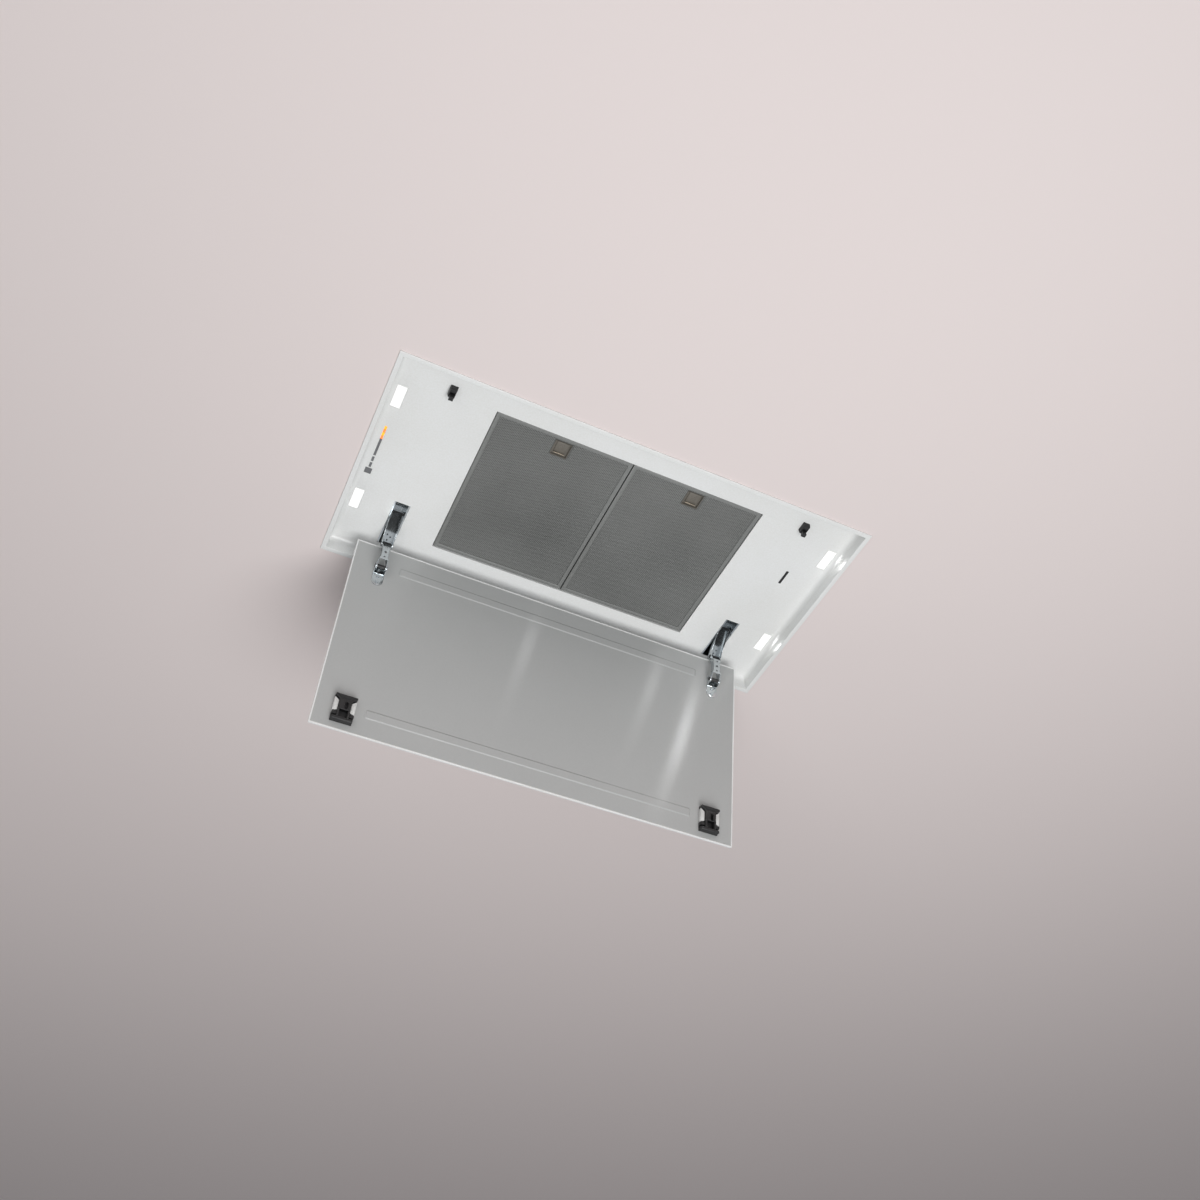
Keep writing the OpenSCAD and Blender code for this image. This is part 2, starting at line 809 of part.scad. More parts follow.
module lamp_lenses() {
    color("white") at_ceiling() for (s = [-1, 1], y = lamp_y) {
        block(span(s * lamp_x, lamp_w / 2), span(y, lamp_l / 2), [recess_z - lamp_proud, tray_top]);
        block(span(s * lamp_x, lamp_w / 2 + lamp_flange), span(y, lamp_l / 2 + lamp_flange),
              [tray_top, tray_top + lamp_flange_h]);
    }
}

module lamp_bodies() {
    z0 = tray_top + lamp_flange_h;
    fins = 6;
    color("silver") at_ceiling() for (s = [-1, 1], y = lamp_y) difference() {
        block(span(s * lamp_x, lamp_w / 2 + lamp_flange), span(y, lamp_l / 2 + lamp_flange),
              [z0, z0 + lamp_body_h]);
        for (i = [1 : fins - 1])
            block(span(s * lamp_x, lamp_w),
                  span(y - lamp_l / 2 + lamp_l * i / fins, lamp_flange),
                  [z0 + lamp_body_h / 2, z0 + lamp_body_h + over]);
    }
}

module control_board() {
    mid = (strip_marks_y[0] + display_y + display_side / 2) / 2;
    color("seagreen") at_ceiling()
        block(span(strip_x, board_w / 2), span(mid, board_l / 2), [board_z, board_z + board_t]);
}

module level_lamps() {
    color("orange") at_ceiling() for (i = [0 : 3])
        block(span(strip_x, bar_w / 2), [strip_marks_y[i], strip_marks_y[i + 1] - mark_gap],
              [mark_z, board_z]);
}

module level_bar() {
    color("dimgray") at_ceiling() {
        block(span(strip_x, bar_w / 2), [strip_marks_y[4], strip_marks_y[5]], [mark_z, board_z]);
        for (y = dash_y) block(span(strip_x, bar_w / 2), [y, y + dash_l], [mark_z, board_z]);
    }
}

module display_window() {
    color("gray") at_ceiling()
        block(span(strip_x, display_side / 2), span(display_y, display_side / 2), [mark_z, board_z]);
}

module sensor_unit() {
    color("black") at_ceiling() {
        block(span(sensor_x, sensor_w / 2), span(sensor_y, sensor_l / 2), [mark_z, tray_top]);
        block(span(sensor_x, sensor_w), span(sensor_y, sensor_l / 2 + sensor_w),
              [tray_top, tray_top + sensor_body]);
    }
}

// The way of a catch's tongue through its housing
module tongue_way(side) {
    block(span(side * catch_x, tongue_w / 2 + slide_gap),
          [tongue_y - tongue_l / 2 - tongue_travel - slide_gap, tongue_y + tongue_l / 2 + slide_gap],
          [recess_z - catch_drop - over, tray_top + catch_flange + over]);
}

module catch_housings() {
    color("black") at_ceiling() for (s = [-1, 1]) difference() {
        union() {
            block(span(s * catch_x, catch_w / 2), span(catch_y, catch_l / 2),
                  [recess_z - catch_drop, recess_z]);
            block(span(s * catch_x, catch_w / 2 - catch_neck), span(catch_y, catch_l / 2 - catch_neck),
                  [recess_z - catch_neck, tray_top + catch_neck]);
            block(span(s * catch_x, catch_w / 2), span(catch_y, catch_l / 2),
                  [tray_top, tray_top + catch_flange]);
        }
        tongue_way(s);
    }
}

module catch_tongue(side) {
    low = tongue_low;
    top = tray_top + catch_flange + pin_gap;
    nose = tongue_head * 0.75;
    ys = span(tongue_y, tongue_l / 2);
    color("dimgray") at_ceiling() {
        side_view(span(side * catch_x, tongue_w / 2)) polygon([
            [ys[0], low + nose], [ys[0] + nose, low], [ys[1], low], [ys[1] + nose, low + nose],
            [ys[1] + nose, low + 2 * nose], [ys[1], low + 3 * nose],
            [ys[1], top + tongue_head], [ys[0], top + tongue_head]]);
        block(span(side * catch_x, tongue_w / 2 + tongue_head), ys, [top, top + tongue_head]);
    }
}

// Limits of a filter's outline along Y
filter_ys = [filter_y0 + filter_side_gap, filter_y0 + filter_side_gap + filter_d];

module filter_frame(side) {
    mid = side * filter_mid_x;
    color("darkgray") at_ceiling() difference() {
        union() {
            block(span(mid, filter_w / 2), filter_ys, [filter_z, filter_z + filter_h]);
            for (e = [-1, 1])
                block(span(mid + e * hook_x, hook_w / 2),
                      [filter_ys[1] - over, filter_y1 + tray_sheet + hook_reach],
                      [hook_z, hook_z + hook_h]);
        }
        block(span(mid, filter_w / 2 - filter_rim), [filter_ys[0] + filter_rim, filter_ys[1] - filter_rim],
              [filter_z - over, filter_z + filter_h + over]);
        block(span(mid, filter_w / 2 - filter_rim + mesh_inset + gap),
              [filter_ys[0] + filter_rim - mesh_inset - gap, filter_ys[1] - filter_rim + mesh_inset + gap],
              [filter_z + mesh_set_back - gap, filter_z + mesh_set_back + mesh_h + gap]);
        block(span(mid, bolt_w / 2 + slide_gap), [filter_ys[0] - over, filter_ys[0] + filter_rim + over],
              [plate_z - slide_gap, plate_z + plate_t + slide_gap]);
    }
}

module filter_mesh(side) {
    mid = side * filter_mid_x;
    color("gray") at_ceiling() difference() {
        block(span(mid, filter_w / 2 - filter_rim + mesh_inset),
              [filter_ys[0] + filter_rim - mesh_inset, filter_ys[1] - filter_rim + mesh_inset],
              [filter_z + mesh_set_back, filter_z + mesh_set_back + mesh_h]);
        block(span(mid, cup_w / 2 + gap), [cup_y - gap, cup_y + cup_d + gap],
              [filter_z, filter_z + filter_h]);
        block(span(mid, bolt_w / 2 + slide_gap), [filter_ys[0], cup_y + over],
              [plate_z - slide_gap, plate_z + plate_t + slide_gap]);
    }
}

module filter_cups() {
    color("dimgray") at_ceiling() for (s = [-1, 1]) difference() {
        block(span(s * filter_mid_x, cup_w / 2), [cup_y, cup_y + cup_d], [cup_z, cup_z + cup_h]);
        block(span(s * filter_mid_x, cup_w / 2 - cup_wall), [cup_y + cup_wall, cup_y + cup_d - cup_wall],
              [cup_z - over, cup_z + cup_h - cup_wall]);
        block(span(s * filter_mid_x, bolt_w / 2 + slide_gap), [cup_y - over, cup_y + cup_wall + over],
              [plate_z - slide_gap, plate_z + plate_t + slide_gap]);
    }
}

module filter_handle(side) {
    mid = side * filter_mid_x;
    color("tan") at_ceiling() {
        block(span(mid, plate_w / 2), [plate_y0, plate_y0 + plate_l], [plate_z, plate_z + plate_t]);
        block(span(mid, plate_w / 2), [plate_y0 + plate_l - lip_t, plate_y0 + plate_l],
              [cup_z, plate_z + plate_t]);
        block(span(mid, bolt_w / 2), [bolt_tip, plate_y0 + over], [plate_z, plate_z + plate_t]);
    }
}

module hinge_case(side) {
    inner = case_half - hinge_sheet;
    ys = [case_y0, case_y1];
    color("slategray") at_ceiling() translate([side * hinge_x, 0, 0]) difference() {
        union() {
            block(span(0, case_half), ys, [tray_top, case_top]);
            block(span(0, case_half + case_foot), ys, [tray_top, tray_top + hinge_sheet]);
        }
        block(span(0, inner), [case_y0 - over, case_y1 + over],
              [tray_top - over, case_top - hinge_sheet]);
        bar_x(span(0, case_half + over), case_pivot, pin_r + pin_gap);
        for (e = [-1, 1], y = case_stud_y)
            translate([e * (case_half + case_foot / 2), y, tray_top - over])
                cylinder(r = stud_r + gap, h = hinge_sheet + 2 * over);
        for (y = case_window_y)
            translate([0, y, case_top - hinge_sheet - over])
                cylinder(r = case_window_r, h = hinge_sheet + 2 * over);
    }
}

// A pin along X with a rivet head at each end
module hinge_pin(at, half) {
    bar_x(span(0, half + pin_over), at, pin_r);
    for (s = [-1, 1])
        bar_x(s > 0 ? [half + pin_gap, half + pin_over] : [-half - pin_over, -half - pin_gap],
              at, pin_r + pin_shoulder);
}

// Pins of the arms in their cases, with shoulders that centre the arms
module case_pins() {
    inner = case_half - hinge_sheet;
    color("silver") at_ceiling() for (s = [-1, 1]) translate([s * hinge_x, 0, 0]) {
        hinge_pin(case_pivot, case_half);
        for (e = [-1, 1])
            bar_x(e > 0 ? [arm_half + pin_gap, inner - pin_gap] : [pin_gap - inner, -arm_half - pin_gap],
                  case_pivot, pin_r + pin_shoulder);
    }
}

module knee_pins() {
    color("silver") at_ceiling() for (s = [-1, 1])
        translate([s * hinge_x, 0, 0]) hinge_pin(knee, arm_half);
}

// Puts a piece drawn along +Y from the origin onto its pivot at its angle
module on_pivot(side, at, angle) {
    at_ceiling() translate([side * hinge_x, at[0], at[1]]) rotate([angle, 0, 0]) children();
}

module arm_side() {
    translate([0, -arm_end_r]) square([arm_l, arm_end_r + arm_high]);
    translate([-arm_end_r, 0]) square([arm_l + 1.5 * arm_end_r, arm_high]);
    for (y = [0, arm_l]) translate([y, 0]) circle(arm_end_r);
}

module hinge_arm(side) {
    inner = arm_half - hinge_sheet;
    color("slategray") on_pivot(side, case_pivot, arm_open) difference() {
        side_view(span(0, arm_half)) arm_side();
        block(span(0, inner), [-2 * arm_end_r, arm_l + 2 * arm_end_r],
              [-2 * arm_end_r, arm_high - hinge_sheet]);
        for (y = [0, arm_l]) bar_x(span(0, arm_half + over), [y, 0], pin_r + pin_gap);
    }
}

module link_side() {
    translate([0, -link_end_r]) square([link_l, link_end_r + link_low]);
    translate([link_web_in, -link_high]) square([link_l - 2 * link_web_in, link_high]);
    for (y = [0, link_l]) translate([y, 0]) circle(link_end_r);
}

module hinge_link(side) {
    inner = link_half - hinge_sheet;
    color("gainsboro") on_pivot(side, knee, link_open) difference() {
        side_view(span(0, link_half)) link_side();
        block(span(0, inner), [-2 * link_end_r, link_l + 2 * link_end_r],
              [hinge_sheet - link_high, 2 * link_end_r]);
        for (y = [0, link_l]) bar_x(span(0, link_half + over), [y, 0], pin_r + pin_gap);
    }
}

// The panel's frame: the lip's hinge-side edge lies on X, the depth runs
// along -Y and the liner's side faces +Z, as on the shut panel
module on_panel() {
    at_ceiling() translate([0, panel_edge[0], panel_edge[1]])
        rotate([panel_open_angle, 0, 0]) children();
}

// Limits along the panel's depth, turned into limits along Y
function depth(s0, s1) = [-s1, -s0];

liner_w = -skin_t;

module leaf_pins() {
    color("silver") on_panel() for (s = [-1, 1])
        translate([s * hinge_x, 0, 0]) hinge_pin([-leaf_pivot_s, leaf_pivot_w], leaf_half);
}

module hinge_leaf(side) {
    inner = leaf_half - hinge_sheet;
    end_s = leaf_s1 - leaf_half;
    color("silver") on_panel() translate([side * hinge_x, 0, 0]) difference() {
        union() {
            block(span(0, leaf_half), depth(leaf_s0, end_s), [liner_w, liner_w + leaf_t]);
            translate([0, -end_s, liner_w]) cylinder(r = leaf_half, h = leaf_t);
            side_view(span(0, leaf_half)) {
                translate([-ear_s1, liner_w]) square([ear_s1 - ear_s0, leaf_pivot_w - liner_w]);
                translate([-leaf_pivot_s, leaf_pivot_w]) circle(ear_r);
            }
        }
        block(span(0, inner), depth(leaf_s0 - over, ear_s1 + over),
              [liner_w + leaf_t, leaf_pivot_w + 2 * ear_r]);
        bar_x(span(0, leaf_half + over), [-leaf_pivot_s, leaf_pivot_w], pin_r + pin_gap);
        for (s = leaf_screw_s) screw_hole([0, -s, liner_w + leaf_t]);
    }
}

module leaf_screws() {
    color("silver") on_panel() for (e = [-1, 1], s = leaf_screw_s)
        screw([e * hinge_x, -s, liner_w + leaf_t]);
}

module panel_skin() {
    color("white") on_panel() difference() {
        block(span(0, panel_w / 2), [-panel_d, 0], [-panel_t, 0]);
        block(span(0, panel_w / 2 - skin_t), [skin_t - panel_d, -skin_t], [skin_t - panel_t, -skin_t]);
        block(span(0, panel_w / 2 - panel_lip), [panel_lip - panel_d, -panel_lip], [-2 * skin_t, over]);
    }
}

// Bead along the liner: its outline, sunk by the sheet for the hollow under it
module bead(s, sunk) {
    flat = bead_w / 2 - bead_flank;
    low = liner_w - sunk;
    side_view(span(0, bead_half - sunk)) translate([-s, 0])
        polygon([[-bead_w / 2, low - liner_t / 2], [-bead_w / 2, low], [-flat, low + bead_h],
                 [flat, low + bead_h], [bead_w / 2, low], [bead_w / 2, low - liner_t / 2]]);
}

module panel_liner() {
    color("darkgray") on_panel() difference() {
        union() {
            block(span(0, panel_w / 2 - skin_t - gap), [skin_t + gap - panel_d, -skin_t - gap],
                  [liner_w - liner_t, liner_w]);
            for (s = bead_s) bead(s, 0);
        }
        for (s = bead_s) bead(s, liner_t);
        for (e = [-1, 1], s = leaf_screw_s) screw_hole([e * hinge_x, -s, liner_w]);
    }
}

module panel_core() {
    color("beige") on_panel() difference() {
        block(span(0, panel_w / 2 - skin_t - gap), [skin_t + gap - panel_d, -skin_t - gap],
              [skin_t - panel_t, liner_w - liner_t]);
        for (e = [-1, 1], s = leaf_screw_s) screw_hole([e * hinge_x, -s, liner_w]);
    }
}

module latch_outline() {
    half = latch_w / 2;
    stem = latch_stem / 2;
    right = [[half, -latch_s0], [half, -latch_s0 - latch_bar],
        [stem, -latch_s0 - latch_bar - latch_flare], [stem, latch_flare / 2 - latch_low_bar_s],
        [half, -latch_low_bar_s], [half, -latch_s1]];
    polygon(concat(right, [for (i = [len(right) - 1 : -1 : 0]) [-right[i][0], right[i][1]]]));
}

module panel_latch(side) {
    color("black") on_panel() translate([side * latch_x, 0, 0]) difference() {
        translate([0, 0, liner_w]) linear_extrude(latch_h - liner_w) latch_outline();
        block(span(0, pocket_w / 2), depth(pocket_s0, pocket_s1), [latch_base, latch_h + over]);
        block(span(0, latch_w), depth(pocket_s1, pocket_s1 + latch_groove),
              [latch_groove_z, latch_h + over]);
    }
}

// The pads fill the waists between a latch's flares
module latch_pads() {
    s0 = latch_s0 + latch_bar + 2 * gap;
    s1 = latch_low_bar_s - 2 * gap;
    x0 = latch_stem / 2 + gap;
    x1 = x0 + pad_w;
    color("whitesmoke") on_panel() for (e = [-1, 1], f = [0, 1])
        translate([e * latch_x, 0, liner_w]) mirror([f, 0, 0]) linear_extrude(pad_h - liner_w)
            polygon([[x0, -s0 - latch_flare], [x1, -s0], [x1, -s1], [x0, latch_flare / 2 - s1]]);
}

ceiling_tray();
body_shell();
body_lid();
housing_screws();
cross_rail(-1);  // cross_rail_left
cross_rail(1);  // cross_rail_right
stud_nuts();
suspension_brackets();
cable_gland();
outlet_collar();
flap_pin();
flap(-1);  // flap_left
flap(1);  // flap_right
fan_scroll();
fan_inlet_ring();
fan_cover();
fan_mounts();
motor();
motor_shaft();
impeller();
control_box();
control_box_lid();
run_capacitor();
led_driver();
lamp_lenses();
lamp_bodies();
control_board();
level_lamps();
level_bar();
display_window();
sensor_unit();
catch_housings();
catch_tongue(-1);  // catch_tongue_left
catch_tongue(1);  // catch_tongue_right
filter_frame(-1);  // filter_frame_left
filter_frame(1);  // filter_frame_right
filter_mesh(-1);  // filter_mesh_left
filter_mesh(1);  // filter_mesh_right
filter_cups();
filter_handle(-1);  // filter_handle_left
filter_handle(1);  // filter_handle_right
hinge_case(-1);  // hinge_case_left
hinge_case(1);  // hinge_case_right
case_pins();
hinge_arm(-1);  // hinge_arm_left
hinge_arm(1);  // hinge_arm_right
knee_pins();
hinge_link(-1);  // hinge_link_left
hinge_link(1);  // hinge_link_right
leaf_pins();
hinge_leaf(-1);  // hinge_leaf_left
hinge_leaf(1);  // hinge_leaf_right
leaf_screws();
panel_skin();
panel_liner();
panel_core();
panel_latch(-1);  // panel_latch_left
panel_latch(1);  // panel_latch_right
latch_pads();
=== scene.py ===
"""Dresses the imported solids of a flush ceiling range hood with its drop-down panel open."""

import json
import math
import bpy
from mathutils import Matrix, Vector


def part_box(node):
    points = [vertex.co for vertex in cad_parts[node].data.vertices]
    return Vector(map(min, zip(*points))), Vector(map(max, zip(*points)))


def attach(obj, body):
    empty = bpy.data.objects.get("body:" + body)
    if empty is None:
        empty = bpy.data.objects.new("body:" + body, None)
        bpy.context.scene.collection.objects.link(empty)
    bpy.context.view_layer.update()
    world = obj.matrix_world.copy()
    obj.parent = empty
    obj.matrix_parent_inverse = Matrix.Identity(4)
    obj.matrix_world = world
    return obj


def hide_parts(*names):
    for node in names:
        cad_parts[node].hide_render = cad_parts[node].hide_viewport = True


bl_info = {
    "name": "Ceiling Range Hood",
    "version": (1, 0, 0),
    "blender": (4, 5, 0),
    "location": "View3D > Sidebar > Hood",
    "description": "Builds the looks of a flush ceiling range hood round its packed solids",
    "category": "Object",
}

import bmesh
import bpy
import numpy as np
from bpy.props import FloatProperty, FloatVectorProperty, PointerProperty, StringProperty
from mathutils import Matrix, Vector

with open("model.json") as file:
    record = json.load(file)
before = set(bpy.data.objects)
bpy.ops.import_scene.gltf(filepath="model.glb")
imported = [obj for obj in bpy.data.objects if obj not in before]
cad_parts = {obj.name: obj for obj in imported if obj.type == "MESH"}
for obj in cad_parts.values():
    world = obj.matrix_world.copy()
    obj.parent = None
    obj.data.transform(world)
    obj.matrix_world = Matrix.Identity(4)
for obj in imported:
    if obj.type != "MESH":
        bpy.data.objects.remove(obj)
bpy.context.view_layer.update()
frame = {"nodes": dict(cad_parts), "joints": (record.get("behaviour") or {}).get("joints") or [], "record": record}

MM = 0.001
SIDES = (("left", -1), ("right", 1))
# Faces that meet at more than this angle keep a crisp edge
CRISP = math.radians(34)

# Every pivot of the hinges lies on the axis of a joint
PIVOT = {j["name"]: Vector(j["pos_m"]) / MM for j in frame["joints"] if "pos_m" in j}
CASE_PIVOT, KNEE, LEAF_PIVOT = (PIVOT[n] for n in ("hinge_swing", "hinge_fold", "panel_fold"))
# Height of the ceiling's surface under the origin, in millimetres
CEILING = frame["record"]["mounts"][1]["pos_m"][2] / MM
# Distance of a hinge from the hood's middle, and radius of the holes for its pins
HINGE_PLACE, PIN_HOLE = 398.5, 2.55
# Places of a leaf's pivot on the panel: from the hinge-side edge, and over the liner's side
PIVOT_DEPTH, PIVOT_RISE = 62, 12
# Angle in degrees that the open panel has turned from shut
PANEL_OPEN = 100


def linear(code):
    """Turns an sRGB hex value into the linear colour that a shader works in."""
    parts = [int(code[i : i + 2], 16) / 255 for i in (1, 3, 5)]
    return [p / 12.92 if p <= 0.04045 else ((p + 0.055) / 1.055) ** 2.4 for p in parts] + [1.0]


# Finishes


def put(tree, kind, inputs=None, **settings):
    """Adds one node with its settings, and sets its inputs to values or links them to sockets."""
    node = tree.nodes.new(kind)
    for key, value in settings.items():
        setattr(node, key, value)
    for key, value in (inputs or {}).items():
        if isinstance(value, bpy.types.NodeSocket):
            tree.links.new(value, node.inputs[key])
        else:
            node.inputs[key].default_value = value
    return node


def finish(name, base, tint, grain, depth, rough, metal=0.0, stretch=(1, 1, 1), pattern="noise",
           broad=0.25, coat=0.0, ior=1.5, drawn=0.0, glow=None, light=0.0):
    """Makes one finish. Grain is the size of its pattern and depth its relief, both in millimetres;
    tint is the colour that the pattern and slow soiling bring in; rough is the range of roughness; a
    surface drawn along X spreads its highlights across X."""
    if name in bpy.data.materials:
        return bpy.data.materials[name]
    material = bpy.data.materials.new(name)
    material.use_nodes = True
    tree = material.node_tree
    shader = tree.nodes["Principled BSDF"]
    place = put(tree, "ShaderNodeTexCoord")
    scaled = put(tree, "ShaderNodeMapping", {"Vector": place.outputs["Object"],
                                             "Scale": [s / (grain * MM) for s in stretch]})
    if pattern == "cells":
        fine = put(tree, "ShaderNodeTexVoronoi", {"Vector": scaled.outputs[0], "Scale": 1.0})
        split = put(tree, "ShaderNodeSeparateColor", {"Color": fine.outputs["Color"]})
        value = split.outputs["Red"]
    else:
        fine = put(tree, "ShaderNodeTexNoise", {"Vector": scaled.outputs[0], "Scale": 1.0, "Detail": 3.0})
        value = fine.outputs["Fac"]
    slow = put(tree, "ShaderNodeTexNoise",
               {"Vector": place.outputs["Object"], "Scale": 1 / broad, "Detail": 2.0})
    both = put(tree, "ShaderNodeMath", {0: value, 1: slow.outputs["Fac"]}, operation="ADD")
    share = put(tree, "ShaderNodeMapRange", {"Value": both.outputs[0], "From Min": 0.6, "From Max": 1.4})
    colour = put(tree, "ShaderNodeMix", {"Factor": share.outputs[0]}, data_type="RGBA")
    colour.inputs[6].default_value = linear(base)
    colour.inputs[7].default_value = linear(tint)
    tree.links.new(colour.outputs[2], shader.inputs["Base Color"])
    sheen = put(tree, "ShaderNodeMapRange",
                {"Value": share.outputs[0], "To Min": rough[0], "To Max": rough[1]})
    tree.links.new(sheen.outputs[0], shader.inputs["Roughness"])
    if depth:
        relief = put(tree, "ShaderNodeBump", {"Height": value, "Distance": depth * MM, "Strength": 1.0})
        tree.links.new(relief.outputs[0], shader.inputs["Normal"])
    shader.inputs["Metallic"].default_value = metal
    shader.inputs["Coat Weight"].default_value = coat
    if not metal:
        shader.inputs["IOR"].default_value = ior
    if drawn:
        along = put(tree, "ShaderNodeCombineXYZ", {"X": 1.0})
        tree.links.new(along.outputs[0], shader.inputs["Tangent"])
        shader.inputs["Anisotropic"].default_value = drawn
        shader.inputs["Anisotropic Rotation"].default_value = 0.25
    if glow:
        shader.inputs["Emission Color"].default_value = linear(glow)
        lit = put(tree, "ShaderNodeAttribute", attribute_name="glow")
        strength = put(tree, "ShaderNodeMath", {0: lit.outputs["Fac"], 1: light}, operation="MULTIPLY")
        tree.links.new(strength.outputs[0], shader.inputs["Emission Strength"])
    return material


def finishes():
    """Every finish of the hood by name, each from its real material and how its surface was made."""
    tone = bpy.context.scene.hood_finishes
    return {
        # Stoved powder enamel on sheet steel: white, even gloss with a faint orange peel of 3 mm
        "enamel": finish("white_powder_enamel", tone.enamel, "#E6E6E3", 3.0, 0.006, (0.20, 0.28), coat=0.2),
        # Stoved grey lacquer on pressed steel: smoother than the enamel, so lamps draw long streaks in it
        "lacquer": finish("grey_stoved_lacquer", tone.liner, "#B2B3B2", 4.0, 0.0, (0.21, 0.23), drawn=1.0),
        # Hot-dip galvanised sheet: zinc crystals of 10 mm that catch the light one by one
        "zinc": finish("hot_dip_galvanised_sheet", "#BDC1C4", "#ABB0B4", 10.0, 0.0, (0.34, 0.50),
                       metal=0.6, pattern="cells"),
        # Nickel-plated pressed steel: bright and a little drawn along its length
        "nickel": finish("nickel_plated_steel", tone.hinge, "#B2B8BB", 1.2, 0.004, (0.10, 0.24), metal=1.0,
                         stretch=(1, 0.12, 0.12)),
        # Turned steel pins and screws, zinc plated: bright with fine turning lines
        "bright": finish("zinc_plated_turned_steel", "#D3D7DA", "#A9AEB2", 0.5, 0.004, (0.14, 0.28),
                         metal=1.0, stretch=(1, 0.3, 0.3)),
        # Burnished steel of the hinges' pins: near black, with a satin gleam
        "burnished": finish("burnished_pin_steel", "#3A3B3D", "#2A2B2C", 0.8, 0.004, (0.30, 0.42), metal=0.8),
        # Glass-filled polyamide, moulded: near black, satin, with an eroded grain of 0.8 mm
        "polyamide": finish("black_moulded_polyamide", tone.plastic, "#2B2A2A", 0.8, 0.02, (0.38, 0.52)),
        # Polypropylene, moulded: mid grey and waxy, with soft flow marks
        "propylene": finish("grey_moulded_polypropylene", "#5C5F62", "#505356", 1.5, 0.01, (0.42, 0.55)),
        # ABS, moulded: off-white and satin
        "abs": finish("white_moulded_abs", "#D9D9D6", "#CFCFCB", 1.0, 0.01, (0.35, 0.48)),
        # Rolled aluminium frame, cleaned in dishwashers: dull grey, drawn lengthwise
        "rolled": finish("rolled_aluminium", tone.filter_frame, "#7C7D7B", 0.8, 0.01, (0.38, 0.55), metal=0.3,
                         stretch=(0.2, 0.2, 1)),
        # Expanded aluminium mesh, aged by cleaning: mid grey with little sheen
        "expanded": finish("expanded_aluminium", tone.mesh, "#80817F", 1.5, 0.01, (0.45, 0.62), metal=0.2),
        # Layers of mesh behind the first: the same metal painted darker, as painted shade for the depth that lies
        # behind the front strands
        "layers": finish("expanded_aluminium_layers_painted_shade", "#757674", "#4A4B49", 2.4, 0.25, (0.5, 0.7), metal=0.2),
        # Brown-grey anodised aluminium of the latch cups: satin
        "anodised": finish("brown_anodised_aluminium", "#78736B", "#726D65", 0.8, 0.006, (0.34, 0.46),
                           metal=0.2),
        # Painted highlight on the handles' lower edge: the same aluminium made paler and warmer than the anodised
        # faces, standing for the bright line that light draws along it
        "anodised_painted_highlight": finish("aluminium_edge_painted_highlight", "#C8B8A4", "#BCAC98", 0.8, 0.004, (0.25, 0.35),
                                metal=0.3),
        # Opal acrylic over the diodes: white and lit from behind
        "opal": finish("opal_acrylic_lit", "#F2F2F1", "#EEEEEC", 4.0, 0.0, (0.18, 0.25), ior=1.49,
                       glow="#FFFFFD", light=tone.lamp_light),
        # Coloured acrylic light guides of the control strip, lit amber and orange-red
        "amber": finish("amber_acrylic_lit", "#F0A13A", "#E8932E", 2.0, 0.0, (0.2, 0.3), ior=1.49,
                        glow="#FFB22E", light=tone.mark_light),
        "coral": finish("orange_acrylic_lit", "#EE8A46", "#E67B38", 2.0, 0.0, (0.2, 0.3), ior=1.49,
                        glow="#FF7F3C", light=tone.mark_light),
        # Smoked acrylic, unlit: grey with a clear gloss
        "smoke": finish("smoked_acrylic", "#7A7B7D", "#6C6D6F", 1.0, 0.0, (0.15, 0.25), ior=1.49),
        # Die-cast aluminium, shot blasted: matt and pale
        "cast": finish("die_cast_aluminium", "#B5B7B8", "#9DA0A2", 0.6, 0.03, (0.42, 0.6), metal=0.9),
        # Solder mask on glass-epoxy board: dark green, glossy over a faint weave
        "board": finish("solder_mask_board", "#1F5B3A", "#174A2F", 0.5, 0.01, (0.25, 0.4)),
        # Lacquered motor casing: dark grey, satin
        "motor": finish("motor_lacquer", "#3B3E42", "#303336", 2.0, 0.01, (0.3, 0.45)),
        # Moulded nitrile rubber: black and dull
        "rubber": finish("moulded_rubber", "#191919", "#232323", 1.0, 0.02, (0.65, 0.8)),
        # Pale soft-touch pad, moulded: light grey, satin
        "pad": finish("pale_moulded_pad", "#E4E4E2", "#DADAD8", 0.8, 0.01, (0.35, 0.5)),
        # Honeycomb board: buff paper with fibres of 2 mm
        "paper": finish("honeycomb_board", "#B79F78", "#A48C66", 2.0, 0.05, (0.8, 0.9)),
    }


# Forms


def grown(bm, rounding, segments=2):
    """Gives every crisp edge of a closed form a small radius."""
    bmesh.ops.recalc_face_normals(bm, faces=bm.faces)
    if rounding:
        crisp = [e for e in bm.edges if len(e.link_faces) == 2 and e.calc_face_angle() > CRISP]
        bmesh.ops.bevel(bm, geom=crisp, offset=rounding, offset_type="OFFSET", segments=segments,
                        profile=0.5, affect="EDGES", clamp_overlap=True)


